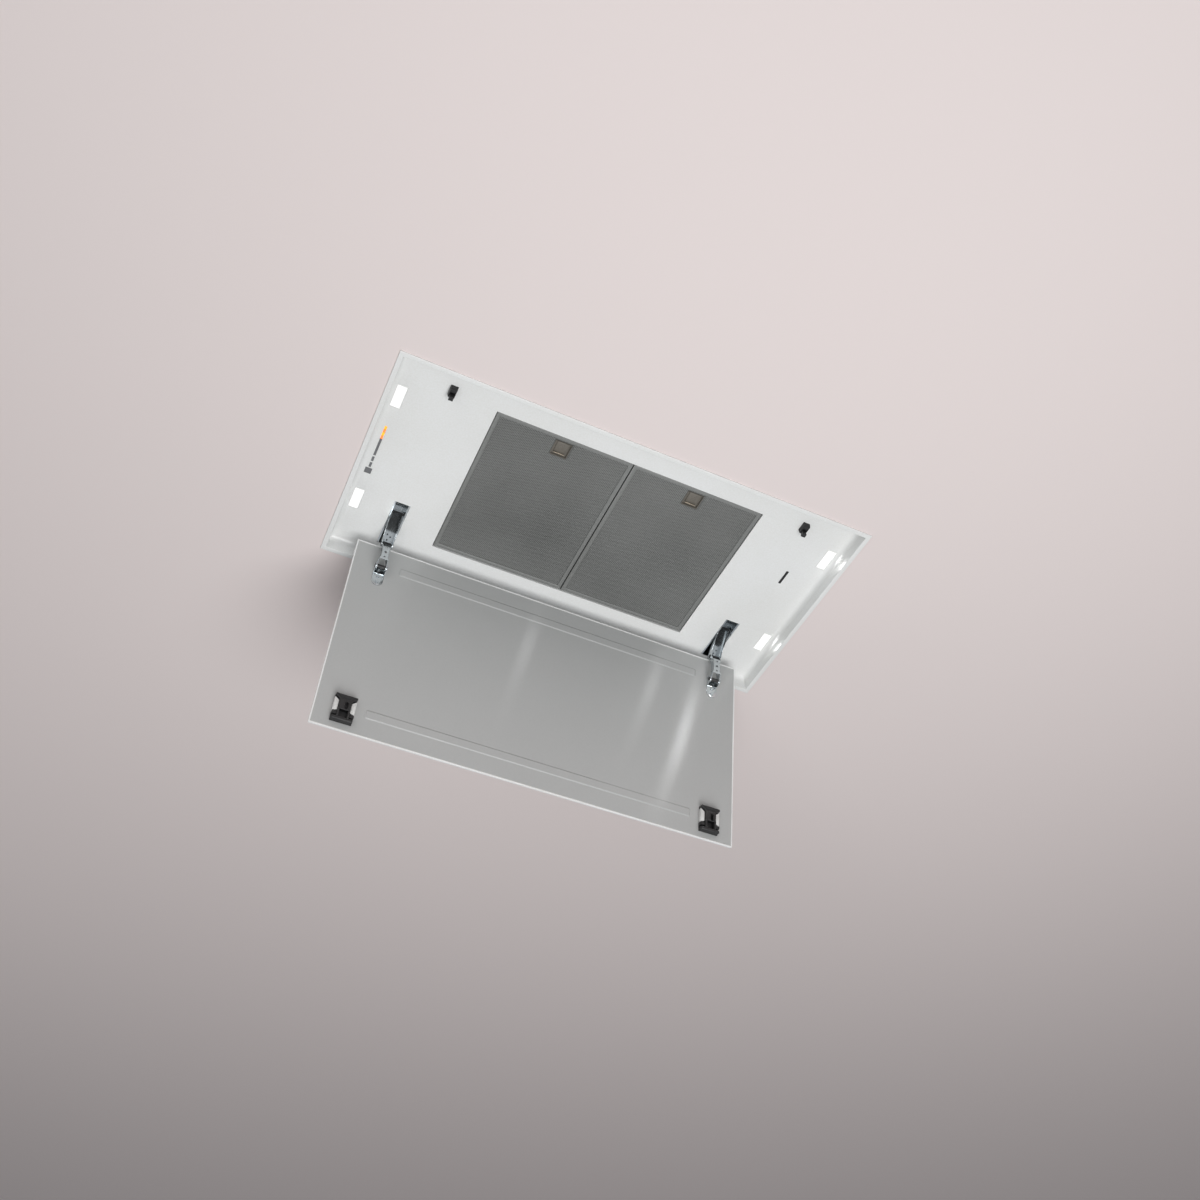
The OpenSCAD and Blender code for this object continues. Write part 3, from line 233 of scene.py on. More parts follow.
class Piece:
    """Gathers closed forms, in millimetres, into one piece of the hood."""

    def __init__(self, name, body, *materials):
        self.name, self.body, self.materials = name, body, materials
        self.bm = bmesh.new()
        self.to = Matrix()
        self.part = 0
        self.glow = None

    def form(self, verts, faces, rounding=0.0, segments=2):
        """Adds one closed form, with its crisp edges rounded, in the finish that is on."""
        bm = bmesh.new()
        points = [bm.verts.new(v) for v in verts]
        for face in faces:
            bm.faces.new([points[i] for i in face])
        grown(bm, rounding, segments)
        for face in bm.faces:
            face.material_index = self.part
        bm.transform(self.to)
        mesh = bpy.data.meshes.new("form")
        bm.to_mesh(mesh)
        bm.free()
        self.bm.from_mesh(mesh)
        bpy.data.meshes.remove(mesh)

    def loft(self, loops, rounding=0.0, closed=False, segments=2):
        """Joins loops of equal length; closed joins the last to the first, otherwise both ends are capped."""
        n = len(loops[0])
        verts = [v for loop in loops for v in loop]
        faces = []
        for i in range(len(loops) if closed else len(loops) - 1):
            a, b = i * n, (i + 1) % len(loops) * n
            faces += [(a + k, a + (k + 1) % n, b + (k + 1) % n, b + k) for k in range(n)]
        if not closed:
            faces += [tuple(range(n))[::-1], tuple(range(len(verts) - n, len(verts)))]
        self.form(verts, faces, rounding, segments)

    def sheet(self, gx, gy, height, thick):
        """A sheet of even thickness under a grid of heights."""
        n, m = gx.shape
        upper = np.stack([gx, gy, height], -1).reshape(-1, 3)
        lower = upper - np.array((0, 0, thick))
        faces = []
        for i in range(n - 1):
            for j in range(m - 1):
                quad = (i * m + j, (i + 1) * m + j, (i + 1) * m + j + 1, i * m + j + 1)
                faces += [quad, tuple(k + n * m for k in quad[::-1])]
        border = [i * m for i in range(n)] + [(n - 1) * m + j for j in range(1, m)]
        border += [i * m + m - 1 for i in range(n - 2, -1, -1)] + list(range(m - 2, 0, -1))
        for a, b in zip(border, border[1:] + border[:1]):
            faces.append((a, a + n * m, b + n * m, b))
        self.form(np.concatenate([upper, lower]).tolist(), faces)

    def box(self, x, y, z, rounding=0.3, segments=2):
        """A block between two limits on each axis."""
        loop = lambda h: [(x[0], y[0], h), (x[1], y[0], h), (x[1], y[1], h), (x[0], y[1], h)]
        self.loft([loop(z[0]), loop(z[1])], rounding, segments=segments)

    def prism(self, outline, z, rounding=0.3, segments=2):
        """Extrudes an outline in X and Y between two heights."""
        self.loft([[(px, py, h) for px, py in outline] for h in z], rounding, segments=segments)

    def side(self, outline, x, rounding=0.3):
        """Extrudes an outline in Y and Z between two places on X."""
        return self.loft([[(h, py, pz) for py, pz in outline] for h in x], rounding)

    def turned(self, profile, at=(0, 0, 0), axis="Z", count=32, closed=False):
        """Turns a profile of radius and height round an axis through a point."""
        spin = {"Z": Matrix(), "Y": Matrix.Rotation(-math.pi / 2, 4, "X"),
                "X": Matrix.Rotation(math.pi / 2, 4, "Y")}
        place = Matrix.Translation(at) @ spin[axis]
        loops = [[place @ Vector((r * math.cos(t), r * math.sin(t), h))
                  for t in (2 * math.pi * k / count for k in range(count))] for r, h in profile]
        self.loft(loops, closed=closed)

    def rod(self, r, span, at=(0, 0, 0), axis="Z", edge=0.3, count=32):
        """A round bar with a small chamfer at both ends."""
        lo, hi = span
        edge = min(edge, r / 2, (hi - lo) / 3)
        self.turned([(r - edge, lo), (r, lo + edge), (r, hi - edge), (r - edge, hi)], at, axis, count)

    def join(self, other):
        """Takes over another piece's forms."""
        mesh = bpy.data.meshes.new("joined")
        other.bm.to_mesh(mesh)
        self.bm.from_mesh(mesh)
        bpy.data.meshes.remove(mesh)

    def carve(self, *cutters):
        """Cuts other pieces' forms out of this one with an exact boolean."""
        block = self.object("cut_block")
        for cutter in cutters:
            tool = cutter.object("cut_tool")
            cut = block.modifiers.new("cut", "BOOLEAN")
            cut.operation, cut.object, cut.solver, cut.use_self = "DIFFERENCE", tool, "EXACT", True
            done = bpy.data.meshes.new_from_object(
                block.evaluated_get(bpy.context.evaluated_depsgraph_get()))
            block.modifiers.clear()
            old, block.data = block.data, done
            bpy.data.meshes.remove(old)
            bpy.data.objects.remove(tool)
        self.bm.clear()
        self.bm.from_mesh(block.data)
        self.bm.transform(Matrix.Scale(1 / MM, 4))
        bpy.data.objects.remove(block)

    def object(self, name=None):
        """An object in the scene that holds the forms so far, in metres."""
        mesh = bpy.data.meshes.new(name or self.name)
        self.bm.transform(Matrix.Scale(MM, 4))
        self.bm.to_mesh(mesh)
        self.bm.transform(Matrix.Scale(1 / MM, 4))
        thing = bpy.data.objects.new(name or self.name, mesh)
        bpy.context.scene.collection.objects.link(thing)
        bpy.context.view_layer.update()
        return thing

    def done(self, slot=None, stands_for=()):
        """Finishes the piece: smooth faces, crisp edges, its materials, the body it rides on."""
        for face in self.bm.faces:
            face.smooth = True
        for edge in self.bm.edges:
            edge.smooth = len(edge.link_faces) == 2 and edge.calc_face_angle(0) < CRISP
        thing = self.object()
        for material in self.materials:
            thing.data.materials.append(material)
        if self.glow:
            lit = thing.data.attributes.new("glow", "FLOAT", "POINT")
            lit.data.foreach_set("value", [self.glow(v.co / MM) for v in thing.data.vertices])
        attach(thing, self.body)
        if stands_for:
            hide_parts(*stands_for)
        return thing


def dress(material, *nodes, edge=0.3):
    """Gives solids of the frame their finish and a small radius on every edge."""
    for name in nodes:
        node = frame["nodes"][name]
        if not node.data.materials:
            node.data.materials.append(material)
        for held in node.material_slots:
            held.link = "OBJECT"
            held.material = material
        if edge:
            soft = node.modifiers.new("edge_radius", "BEVEL")
            soft.width, soft.segments, soft.limit_method = edge * MM, 2, "ANGLE"
            soft.angle_limit, soft.harden_normals = math.radians(40), True


def ring_of(half_x, half_y, height, xs=(), ys=(), radius=0.0, steps=1):
    """A loop round a rectangle: through given places of its sides, or with rounded corners."""
    if steps == 1:
        return ([(-half_x, -half_y, height)] + [(x, -half_y, height) for x in xs] +
                [(half_x, -half_y, height)] + [(half_x, y, height) for y in ys] +
                [(half_x, half_y, height)] + [(x, half_y, height) for x in reversed(xs)] +
                [(-half_x, half_y, height)] + [(-half_x, y, height) for y in reversed(ys)])
    points = []
    for q, (sx, sy) in enumerate(((1, -1), (1, 1), (-1, 1), (-1, -1))):
        for k in range(steps + 1):
            t = math.radians(-90 + 90 * q + 90 * k / steps)
            points.append((sx * (half_x - radius) + radius * math.cos(t),
                           sy * (half_y - radius) + radius * math.sin(t), height))
    return points


def arc(centre, r, start, end, steps):
    """Points of an arc, angles in degrees."""
    return [(centre[0] + r * math.cos(math.radians(start + (end - start) * k / steps)),
             centre[1] + r * math.sin(math.radians(start + (end - start) * k / steps)))
            for k in range(steps + 1)]


def about(mid, half):
    """The two limits at equal distance from a middle."""
    return (mid - half, mid + half)


def lifted():
    """From heights over the ceiling's surface to the hood's frame, in millimetres."""
    return Matrix.Translation((0, 0, CEILING))


# Sizes and colours that a user would change


def length(text, value, low=0.0, high=2000.0):
    """A length in millimetres."""
    name, description = text
    return FloatProperty(name=name, description=description, default=value, min=low, max=high)


def colour(name, description, value):
    """A colour as an sRGB hex value."""
    return StringProperty(name=name, description=description, default=value, maxlen=7)


def strength(name, description, value):
    """A light's strength."""
    return FloatProperty(name=name, description=description, default=value, min=0)


class TraySettings(bpy.types.PropertyGroup):
    """Sizes of the enamelled tray."""

    width: length(("Width", "Length of the tray over its rim, in mm"), 1050)
    depth: length(("Depth", "Depth of the tray over its rim, in mm"), 534)
    rim: length(("Rim", "Width of the rim seen from below, in mm"), 10)
    rim_thick: length(("Rim thickness", "Thickness of the folded rim, in mm"), 4)
    recess: length(("Recess", "Height of the recess over the ceiling's surface, in mm"), 31)
    cove: length(("Cove", "Radius between wall and recess, in mm"), 12)
    sheet: length(("Sheet", "Thickness of the sheet, in mm"), 1.2)


class FilterSettings(bpy.types.PropertyGroup):
    """Sizes of the grease filters."""

    open_width: length(("Opening width", "Length of the filter opening, in mm"), 607)
    open_depth: length(("Opening depth", "Depth of the filter opening, in mm"), 384)
    open_place: length(("Opening place", "Middle of the opening along Y, in mm"), -5, -50, 50)
    rim: length(("Frame", "Width of a filter's frame, in mm"), 9)
    diamond_long: length(("Diamond length", "Long way of a diamond of the mesh, in mm"), 7.0, 2)
    diamond_short: length(("Diamond width", "Short way of a diamond of the mesh, in mm"), 4.4, 1)
    strand: length(("Strand", "Width of a strand of the mesh, in mm"), 1.3, 0.2)


class HingeSettings(bpy.types.PropertyGroup):
    """Sizes of the folding hinges."""

    place: length(("Place", "Distance of a hinge from the hood's middle, in mm"), HINGE_PLACE)
    sheet: length(("Sheet", "Thickness of the hinge's steel, in mm"), 1.5)


class PanelSettings(bpy.types.PropertyGroup):
    """Sizes of the drop-down panel."""

    width: length(("Width", "Length of the panel, in mm"), 918)
    depth: length(("Depth", "Depth of the panel, in mm"), 463)
    thick: length(("Thickness", "Thickness of the panel, in mm"), 6)
    lip: length(("Lip", "Width of the lip round the liner, in mm"), 3)
    corner: length(("Corner radius", "Radius of the panel's corners, in mm"), 2.5, 0.5)
    bead_width: length(("Bead width", "Width of a pressed bead, in mm"), 21)
    bead_height: length(("Bead height", "Height of a pressed bead, in mm"), 1.5, 0.5)


class FinishSettings(bpy.types.PropertyGroup):
    """Colours of the visible finishes, and the light of the lamps."""

    enamel: colour("Enamel", "White enamel of the tray and panel, sRGB hex", "#F0F1F1")
    liner: colour("Liner", "Grey lacquer of the panel's inner side, sRGB hex", "#B6B7B6")
    mesh: colour("Mesh", "Aluminium of the filter mesh, sRGB hex", "#929391")
    filter_frame: colour("Filter frame", "Aluminium of the filter frames, sRGB hex", "#8E8F8D")
    hinge: colour("Hinge", "Nickel plating of the hinges, sRGB hex", "#D2D6D8")
    plastic: colour("Plastic", "Black plastic of catches and latches, sRGB hex", "#1D1D1E")
    lamp_light: strength("Lamp light", "Strength of the lamps' lenses", 1.4)
    mark_light: strength("Mark light", "Strength of the lit marks", 0.9)


class StageSettings(bpy.types.PropertyGroup):
    """The ceiling, the light and the camera."""

    ceiling: colour("Ceiling", "Paint of the ceiling, sRGB hex", "#E7DCDA")
    key_light: FloatProperty(name="Key light", description="Power of the large soft lamp", default=79.0,
                             min=0, unit="POWER")
    world_light: strength("World light", "Strength of the even light", 0.19)
    gloss_light: strength("Gloss light", "Strength of the even light as gloss shows it", 0.55)
    lens: FloatProperty(name="Lens", description="Focal length", default=36.7, min=10,
                        subtype="DISTANCE_CAMERA")
    eye: FloatVectorProperty(name="Eye", description="Place of the camera, in metres",
                             default=(-0.6755, -1.5191, -2.2629), subtype="TRANSLATION")


# Pieces

# What goes through the tray, in millimetres: middles of the lamps, half sizes of their openings, and the
# clearance round each lens
LAMP_PLACES = [(s * 492, y) for s in (-1, 1) for y in (-146, 131)]
LAMP_HALF, LENS_GAP = (11.2, 27.2), 0.2
# Slots of the hinges: half width, and the ends along Y
SLOT_HALF, SLOT_ENDS = 17.5, (104, 227)
# Catches: middle on X and Y, width and depth, and how far the housing's flange overlaps the opening
CATCH, CATCH_LAP = (400, -205, 16, 24), 0.8
# Control strip: its line on X, the bar's half width, the ends of its marks, the window's middle and half size
STRIP_X, BAR_HALF = -492, 2.25
MARKS = ((-68.7, 9.5), (13.1, 25.5), (29.2, 41.6))
DISPLAY = (51.5, 7.0)
# Sensor window: middle on X and Y, half width and half depth
SENSOR = (433.5, -62.5, 2.75, 19.0)
# Clearance round the small windows
WINDOW_GAP = 0.2
# Middles of the liner's beads along the panel's depth
BEADS = (49.5, 410.8)
# Hinge feet and rails stand on these studs
STUDS = [(s * 341, y) for s in (-1, 1) for y in (-220, 0, 210)] + [
    (s * HINGE_PLACE + e * 21.5, y) for s in (-1, 1) for e in (-1, 1) for y in (112, 224)]


def tray_openings(filters):
    """Every opening of the tray's recess, as its limits on X and Y."""
    holes = [(about(0, filters.open_width / 2), about(filters.open_place, filters.open_depth / 2))]
    for s in (-1, 1):
        holes.append((about(s * HINGE_PLACE, SLOT_HALF), SLOT_ENDS))
        holes.append((about(s * CATCH[0], CATCH[2] / 2 - CATCH_LAP),
                      about(CATCH[1], CATCH[3] / 2 - CATCH_LAP)))
    holes += [(about(x, LAMP_HALF[0]), about(y, LAMP_HALF[1])) for x, y in LAMP_PLACES]
    holes += [(about(STRIP_X, BAR_HALF + WINDOW_GAP), span) for span in MARKS]
    for x, y, half_x, half_y in ((STRIP_X, DISPLAY[0], DISPLAY[1], DISPLAY[1]), SENSOR):
        holes.append((about(x, half_x + WINDOW_GAP), about(y, half_y + WINDOW_GAP)))
    return holes


class HOOD_OT_tray(bpy.types.Operator):
    """Makes the enamelled tray: folded rim, mitred coves and the pierced recess."""

    bl_idname = "hood.tray"
    bl_label = "Enamelled tray"

    def execute(self, context):
        tray, filters = context.scene.hood_tray, context.scene.hood_filters
        holes = tray_openings(filters)
        inner_x, inner_y = (tray.width / 2 - tray.rim - tray.cove, tray.depth / 2 - tray.rim - tray.cove)
        xs = sorted({-inner_x, inner_x} | {x for span, _ in holes for x in span})
        ys = sorted({-inner_y, inner_y} | {y for _, span in holes for y in span})
        low, top = tray.recess, tray.recess + tray.sheet
        wall = tray.rim - tray.sheet
        # Radii of the folded rim's three edges, the bevel at the wall's foot, and the pressed holes' radius
        back, outer, inner, ease, pressed = 0.9, 1.1, 1, 0.4, 0.35
        # Section from the recess's upper side round the rim to its lower side, as (inset, height)
        section = [(tray.rim + tray.cove, top)]
        section += [(tray.rim + tray.cove + x, low - tray.cove + z) for x, z in
                    arc((0, 0), tray.cove + tray.sheet, 96, 180, 9)]
        section += [(wall, ease), (wall - ease, 0), (back, 0)]
        section += [(back + x, -back + z) for x, z in arc((0, 0), back, 110, 180, 3)]
        section += [(outer + x, outer - tray.rim_thick + z) for x, z in arc((0, 0), outer, 180, 270, 4)]
        section += [(tray.rim - inner + x, inner - tray.rim_thick + z)
                    for x, z in arc((0, 0), inner, 270, 360, 4)]
        section += [(tray.rim + tray.cove + x, low - tray.cove + z)
                    for x, z in arc((0, 0), tray.cove, 180, 90, 12)]
        piece = Piece("tray_enamelled", "hood", finishes()["enamel"])
        bm = piece.bm
        loops = [[bm.verts.new(p) for p in
                  ring_of(tray.width / 2 - d, tray.depth / 2 - d, z, xs[1:-1], ys[1:-1])]
                 for d, z in section]
        n = len(loops[0])
        for a, b in zip(loops, loops[1:]):
            for k in range(n):
                bm.faces.new((a[k], a[(k + 1) % n], b[(k + 1) % n], b[k]))
        # The recess's two faces as grids of points that join the section's ends
        edge_bevel = []
        sheets = {}
        for border, z in ((loops[0], top), (loops[-1], low)):
            at = {(round(v.co.x, 3), round(v.co.y, 3)): v for v in border}
            sheets[z] = [[at.get((round(x, 3), round(y, 3))) or bm.verts.new((x, y, z)) for y in ys]
                         for x in xs]
        # Faces between the openings, then the openings' walls through the sheet
        open_cell = {}
        for i in range(len(xs) - 1):
            for j in range(len(ys) - 1):
                mx, my = (xs[i] + xs[i + 1]) / 2, (ys[j] + ys[j + 1]) / 2
                open_cell[i, j] = any(a[0] < mx < a[1] and b[0] < my < b[1] for a, b in holes)
                if not open_cell[i, j]:
                    for z in (top, low):
                        g = sheets[z]
                        bm.faces.new((g[i][j], g[i + 1][j], g[i + 1][j + 1], g[i][j + 1]))
        for (i, j), is_open in open_cell.items():
            if not is_open:
                continue
            for di, dj, a, b in ((-1, 0, (i, j), (i, j + 1)), (1, 0, (i + 1, j), (i + 1, j + 1)),
                                 (0, -1, (i, j), (i + 1, j)), (0, 1, (i, j + 1), (i + 1, j + 1))):
                if not open_cell.get((i + di, j + dj), False):
                    corners = [sheets[low][a[0]][a[1]], sheets[low][b[0]][b[1]],
                               sheets[top][b[0]][b[1]], sheets[top][a[0]][a[1]]]
                    bm.faces.new(corners)
                    edge_bevel.append(bm.edges.get((corners[0], corners[1])))
        # Points inside an opening belong to no face
        for column in sheets.values():
            for row in column:
                for v in row:
                    if not v.link_faces:
                        bm.verts.remove(v)
        bmesh.ops.recalc_face_normals(bm, faces=bm.faces)
        # The press rounds the lower edge of every opening
        bmesh.ops.bevel(bm, geom=[e for e in edge_bevel if e], offset=pressed, offset_type="OFFSET",
                        segments=2, profile=0.5, affect="EDGES", clamp_overlap=True)
        # The filter opening's upstand, and the weld studs on the recess's upper side
        x0, y0 = filters.open_width / 2, filters.open_depth / 2
        foot, crest = low + 0.6, low + 14
        upstand = [[(x, y + filters.open_place, z) for x, y, z in ring_of(x0 + out, y0 + out, z)]
                   for out, z in ((0, foot), (0, crest), (tray.sheet, crest), (tray.sheet, foot))]
        piece.loft(upstand, closed=True)
        stud_radius, stud_height = 2, 9
        for x, y in STUDS:
            piece.rod(stud_radius, (low + 0.5, top + stud_height), (x, y, 0), edge=0.5, count=16)
        bm.transform(lifted())
        piece.done("white_enamel", ["ceiling_tray"])
        return {"FINISHED"}


class HOOD_OT_filters(bpy.types.Operator):
    """Makes the two grease filters: rolled frames round packs of expanded mesh."""

    bl_idname = "hood.filters"
    bl_label = "Grease filters"

    def execute(self, context):
        size, made = context.scene.hood_filters, finishes()
        # Play of a filter in the opening, and the radii of the frame's outer, inner and upper edges
        play, outer, inner, upper = 3, 1.4, 1.8, 1.0
        tab_half = 8
        for name, _ in SIDES:
            lo, hi = (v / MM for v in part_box("filter_frame_" + name))
            low, high = lo.z, hi.z
            y0 = lo.y
            y1 = y0 + size.open_depth - play
            mid = ((lo.x + hi.x) / 2, (y0 + y1) / 2)
            half = ((hi.x - lo.x) / 2, (y1 - y0) / 2)
            frame_piece = Piece("filter_frame_rolled_" + name, "hood", made["rolled"])
            section = [(x + outer, z + low + outer) for x, z in arc((0, 0), outer, 180, 270, 4)]
            section += [(size.rim - inner + x, z + low + inner) for x, z in arc((0, 0), inner, 270, 350, 4)]
            section += [(size.rim, low + 3.4), (size.rim - upper, low + 4.0), (size.rim - upper, high - 1.5),
                        (size.rim, high - upper), (size.rim - upper, high)]
            section += [(x + upper, z + high - upper) for x, z in arc((0, 0), upper, 90, 180, 2)]
            frame_piece.loft([[(x + mid[0], y + mid[1], z) for x, y, z in
                               ring_of(half[0] - d, half[1] - d, z)] for d, z in section], closed=True)
            # Two tabs that hook behind the tray's upstand
            for e in (-1, 1):
                frame_piece.box(about(mid[0] + e * half[0] * 2 / 3, tab_half), (y1 - 1, hi.y),
                                (low + 4, low + 7), 0.6)
            frame_piece.done("frame_aluminium", ["filter_frame_" + name])
            self.mesh(name, mid, half, low, size, made)
        return {"FINISHED"}

    def mesh(self, name, mid, half, low, size, made):
        """One filter's mesh: zigzag strands that meet in diamonds, over the layers behind them."""
        piece = Piece("filter_mesh_expanded_" + name, "hood", made["expanded"], made["layers"])
        # The mesh reaches under the frame, and leaves room for the finger cup
        under, cup_half, cup_from, cup_to = 1, 18.6, 4.3, 42.0
        x0, x1 = mid[0] - half[0] + size.rim - under, mid[0] + half[0] - size.rim + under
        y0, y1 = mid[1] - half[1] + size.rim - under, mid[1] + half[1] - size.rim + under
        cup = (about(mid[0], cup_half), (y0 + cup_from, y0 + cup_to))
        step, rise = size.diamond_long / 2, size.diamond_short / 4
        count_x = int((x1 - x0) / step)
        count_y = int((y1 - y0 - 2 * rise) / (2 * rise))
        # Height of the strands, how far a knuckle stands proud, and the heights of a strand's edges
        face_z, proud, near, far = low + 1.5, 0.25, 0.5, 0.7
        verts, faces = [], []
        for row in range(count_y + 1):
            base = y0 + rise + row * 2 * rise
            runs, run = [], []
            for k in range(count_x + 1):
                x, y = x0 + k * step, base + (1 if (k + row) % 2 else -1) * rise
                if cup[0][0] < x < cup[0][1] and cup[1][0] < y < cup[1][1]:
                    runs.append(run)
                    run = []
                else:
                    run.append((x, y, k))
            for run in runs + [run]:
                if len(run) < 2:
                    continue
                start = len(verts)
                for x, y, k in run:
                    # Every other knuckle stands a little proud, as the slit sheet leaves it when drawn open
                    z = face_z + proud * ((k + row) % 2)
                    verts += [(x, y - size.strand / 2, z + near), (x, y + size.strand / 2, z + far),
                              (x, y, z)]
                for k in range(len(run) - 1):
                    a = start + 3 * k
                    faces += [(a + i, a + 3 + i, a + 3 + (i + 1) % 3, a + (i + 1) % 3) for i in range(3)]
                end = len(verts)
                faces += [(start + 2, start + 1, start), (end - 3, end - 2, end - 1)]
        mesh = bpy.data.meshes.new("strands")
        mesh.from_pydata(verts, [], faces)
        piece.bm.from_mesh(mesh)
        bpy.data.meshes.remove(mesh)
        # The layers behind, as four blocks round the cup, in the darker finish that paints their shade
        piece.part = 1
        back = (face_z + 1.0, face_z + 6.0)
        for block_x, block_y in (((x0, cup[0][0]), (y0, y1)), ((cup[0][1], x1), (y0, y1)),
                                 (cup[0], (y0, cup[1][0])), (cup[0], (cup[1][1], y1))):
            piece.box(block_x, block_y, back, 0)
        piece.done("filter_aluminium", ["filter_mesh_" + name])


class HOOD_OT_filter_latches(bpy.types.Operator):
    """Makes the finger cups of the filters and the sprung handles in them."""

    bl_idname = "hood.filter_latches"
    bl_label = "Filter latches"

    def execute(self, context):
        made = finishes()
        cups = Piece("filter_cups_formed", "hood", made["anodised"])
        lo, hi = (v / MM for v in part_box("filter_cups"))
        # A cup's width and wall, the radius of its corners, and the chamfer between wall and floor
        width, wall, corner, ease = 37, 1.2, 2.2, 0.6
        # Thickness of a handle's plate and stem, then the count, pitch and half width of the grip's ribs
        thick, ribs, rib_pitch, rib_half = 2, 4, 4, 0.7
        for name, side in SIDES:
            x = side * ((hi.x - lo.x) / 2 - width / 2)
            y = (lo.y + hi.y) / 2
            half = (width / 2, (hi.y - lo.y) / 2)
            loops = []
            for inset, z in ((0.5, hi.z), (0, hi.z - 0.5), (0, lo.z + 0.5), (0.3, lo.z), (wall - 0.2, lo.z),
                             (wall, lo.z + 0.3), (wall, hi.z - wall - ease), (wall + ease, hi.z - wall)):
                loops.append([(px + x, py + y, z) for px, py, _ in
                              ring_of(half[0] - inset, half[1] - inset, z,
                                      radius=corner - min(inset, 1.6), steps=4)])
            cups.loft(loops)
            low, high = (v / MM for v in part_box("filter_handle_" + name))
            handle = Piece("filter_handle_formed_" + name, "latch_handle_" + name,
                           made["anodised"], made["anodised_painted_highlight"])
            plate = (high.z - thick, high.z)
            middle, root = (low.x + high.x) / 2, lo.y + 1.5
            handle.box((low.x, high.x), (root, high.y), plate, 0.4)
            handle.box(about(middle, 5), (low.y, root + 1), plate, 0.4)
            # The lip that a finger pulls, and its thin edge
            handle.box((low.x + 0.2, high.x - 0.2), (high.y - 1.6, high.y),
                       (low.z + 0.8, plate[1] - 0.2), 0.6)
            # The lip's lower edge takes the paler finish: a painted highlight
            handle.part = 1
            handle.box((low.x + 0.3, high.x - 0.3), (high.y - 1.4, high.y - 0.2), (low.z, low.z + 1.4), 0.4)
            handle.part = 0
            for k in range(ribs):
                handle.box(about(middle, 7), about(root + 7 + rib_pitch * k, rib_half),
                           (plate[0] - 0.7, plate[0] + 0.3), 0.3)
            handle.done("anodised_aluminium", ["filter_handle_" + name])
        cups.done("anodised_aluminium", ["filter_cups"])
        return {"FINISHED"}


class HOOD_OT_lamps(bpy.types.Operator):
    """Gives the lamps their lit opal lenses and cast bodies."""

    bl_idname = "hood.lamps"
    bl_label = "Lamps"

    def execute(self, context):
        made = finishes()
        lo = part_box("lamp_lenses")[0] / MM
        lenses = Piece("lamp_lenses_opal", "hood", made["opal"])
        half = (LAMP_HALF[0] - LENS_GAP, LAMP_HALF[1] - LENS_GAP)
        corner = 1.6
        # Rings of the flat face, close enough for the glow to fade, then edge and flange: (inset, height)
        section = [(d, 0) for d in (10.8, 6.0, 5.0, 4.0, 3.1, 2.3, 1.6, 0.9)]
        section += [(0.4, 0.15), (0.0, 0.6), (0.0, 1.5), (-1.5, 1.6), (-1.5, 3.4)]
        for x, y in LAMP_PLACES:
            lenses.loft([[(px + x, py + y, lo.z + z) for px, py, _ in
                          ring_of(half[0] - d, half[1] - d, z, radius=max(corner - d, 0.4), steps=4)]
                         for d, z in section])
        lenses.glow = self.share
        lenses.done("lens_acrylic", ["lamp_lenses"])
        dress(made["cast"], "lamp_bodies", edge=0.4)
        return {"FINISHED"}

    def share(self, at):
        """A lens glows most over its diodes and fades towards its rim."""
        inside = min(min(LAMP_HALF[0] - abs(at.x - x), LAMP_HALF[1] - abs(at.y - y))
                     for x, y in [min(LAMP_PLACES, key=lambda p: (p[0] - at.x) ** 2 + (p[1] - at.y) ** 2)])
        fade, bend = 6, 1.3
        return min(max((inside - LENS_GAP) / fade, 0.0), 1.0) ** bend


class HOOD_OT_controls(bpy.types.Operator):
    """Gives the control strip its lit marks, bar, window and board, and the sensor its window."""

    bl_idname = "hood.controls"
    bl_label = "Control strip and sensor"

    def execute(self, context):
        made = finishes()
        lo, hi = (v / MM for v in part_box("level_lamps"))
        marks = Piece("level_lamps_lit", "hood", made["amber"], made["coral"])
        count, gap = 4, 0.8
        pitch = (hi.y - lo.y + gap) / count
        for k in range(count):
            marks.part = k % 2
            marks.box((lo.x, hi.x), (lo.y + k * pitch, lo.y + (k + 1) * pitch - gap), (lo.z, hi.z), 0.3)
        marks.glow = lambda at: 1.0
        marks.done("orange_lens", ["level_lamps"])
        dress(made["smoke"], "level_bar", "display_window", edge=0.3)
        dress(made["board"], "control_board", edge=0.1)
        dress(made["polyamide"], "sensor_unit", edge=0.4)
        return {"FINISHED"}


class HOOD_OT_catches(bpy.types.Operator):
    """Makes the two catches that hold the panel's free edge, with their sprung tongues."""

    bl_idname = "hood.catches"
    bl_label = "Catches"

    def execute(self, context):
        made = finishes()
        lo, hi = (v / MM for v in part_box("catch_housings"))
        # The housing's upper block, the groove for the tray's sheet, and the tongue's way through it
        seat, groove = hi.z - 3.2, 1.2
        way_place, way_half = 4.5, (4.8, 6.1)
        block = Piece("catch_housings_moulded", "hood", made["polyamide"])
        x0, y0, w, d = CATCH
        for s in (-1, 1):
            ring = lambda inset, z: [(px + s * x0, py + y0, z) for px, py, _ in
                                     ring_of(w / 2 - inset, d / 2 - inset, z, radius=1.2, steps=3)]
            way = lambda z: [(px + s * x0, py + y0 + way_place, z) for px, py, _ in
                             ring_of(*way_half, z, radius=0.6, steps=3)]
            block.loft([way(hi.z), ring(0, hi.z), ring(0, seat), ring(0.9, seat), ring(0.9, seat - groove),
                        ring(0, seat - groove), ring(1.0, lo.z + 0.8), ring(1.6, lo.z), way(lo.z)],
                       closed=True)
            # Two guide ribs and a stop on the visible end of the housing
            for e in (-1, 1):
                block.box(about(s * x0 + e * 5.4, 0.5), (y0 - 9, y0 + 9), (lo.z - 0.5, lo.z + 0.6), 0.25)
            block.box(about(s * x0, 4), about(y0 - 7, 1.2), (lo.z - 0.6, lo.z + 0.6), 0.3)
        block.done("black_polyamide", ["catch_housings"])
        dress(made["polyamide"], "catch_tongue_left", "catch_tongue_right", edge=0.5)
        return {"FINISHED"}


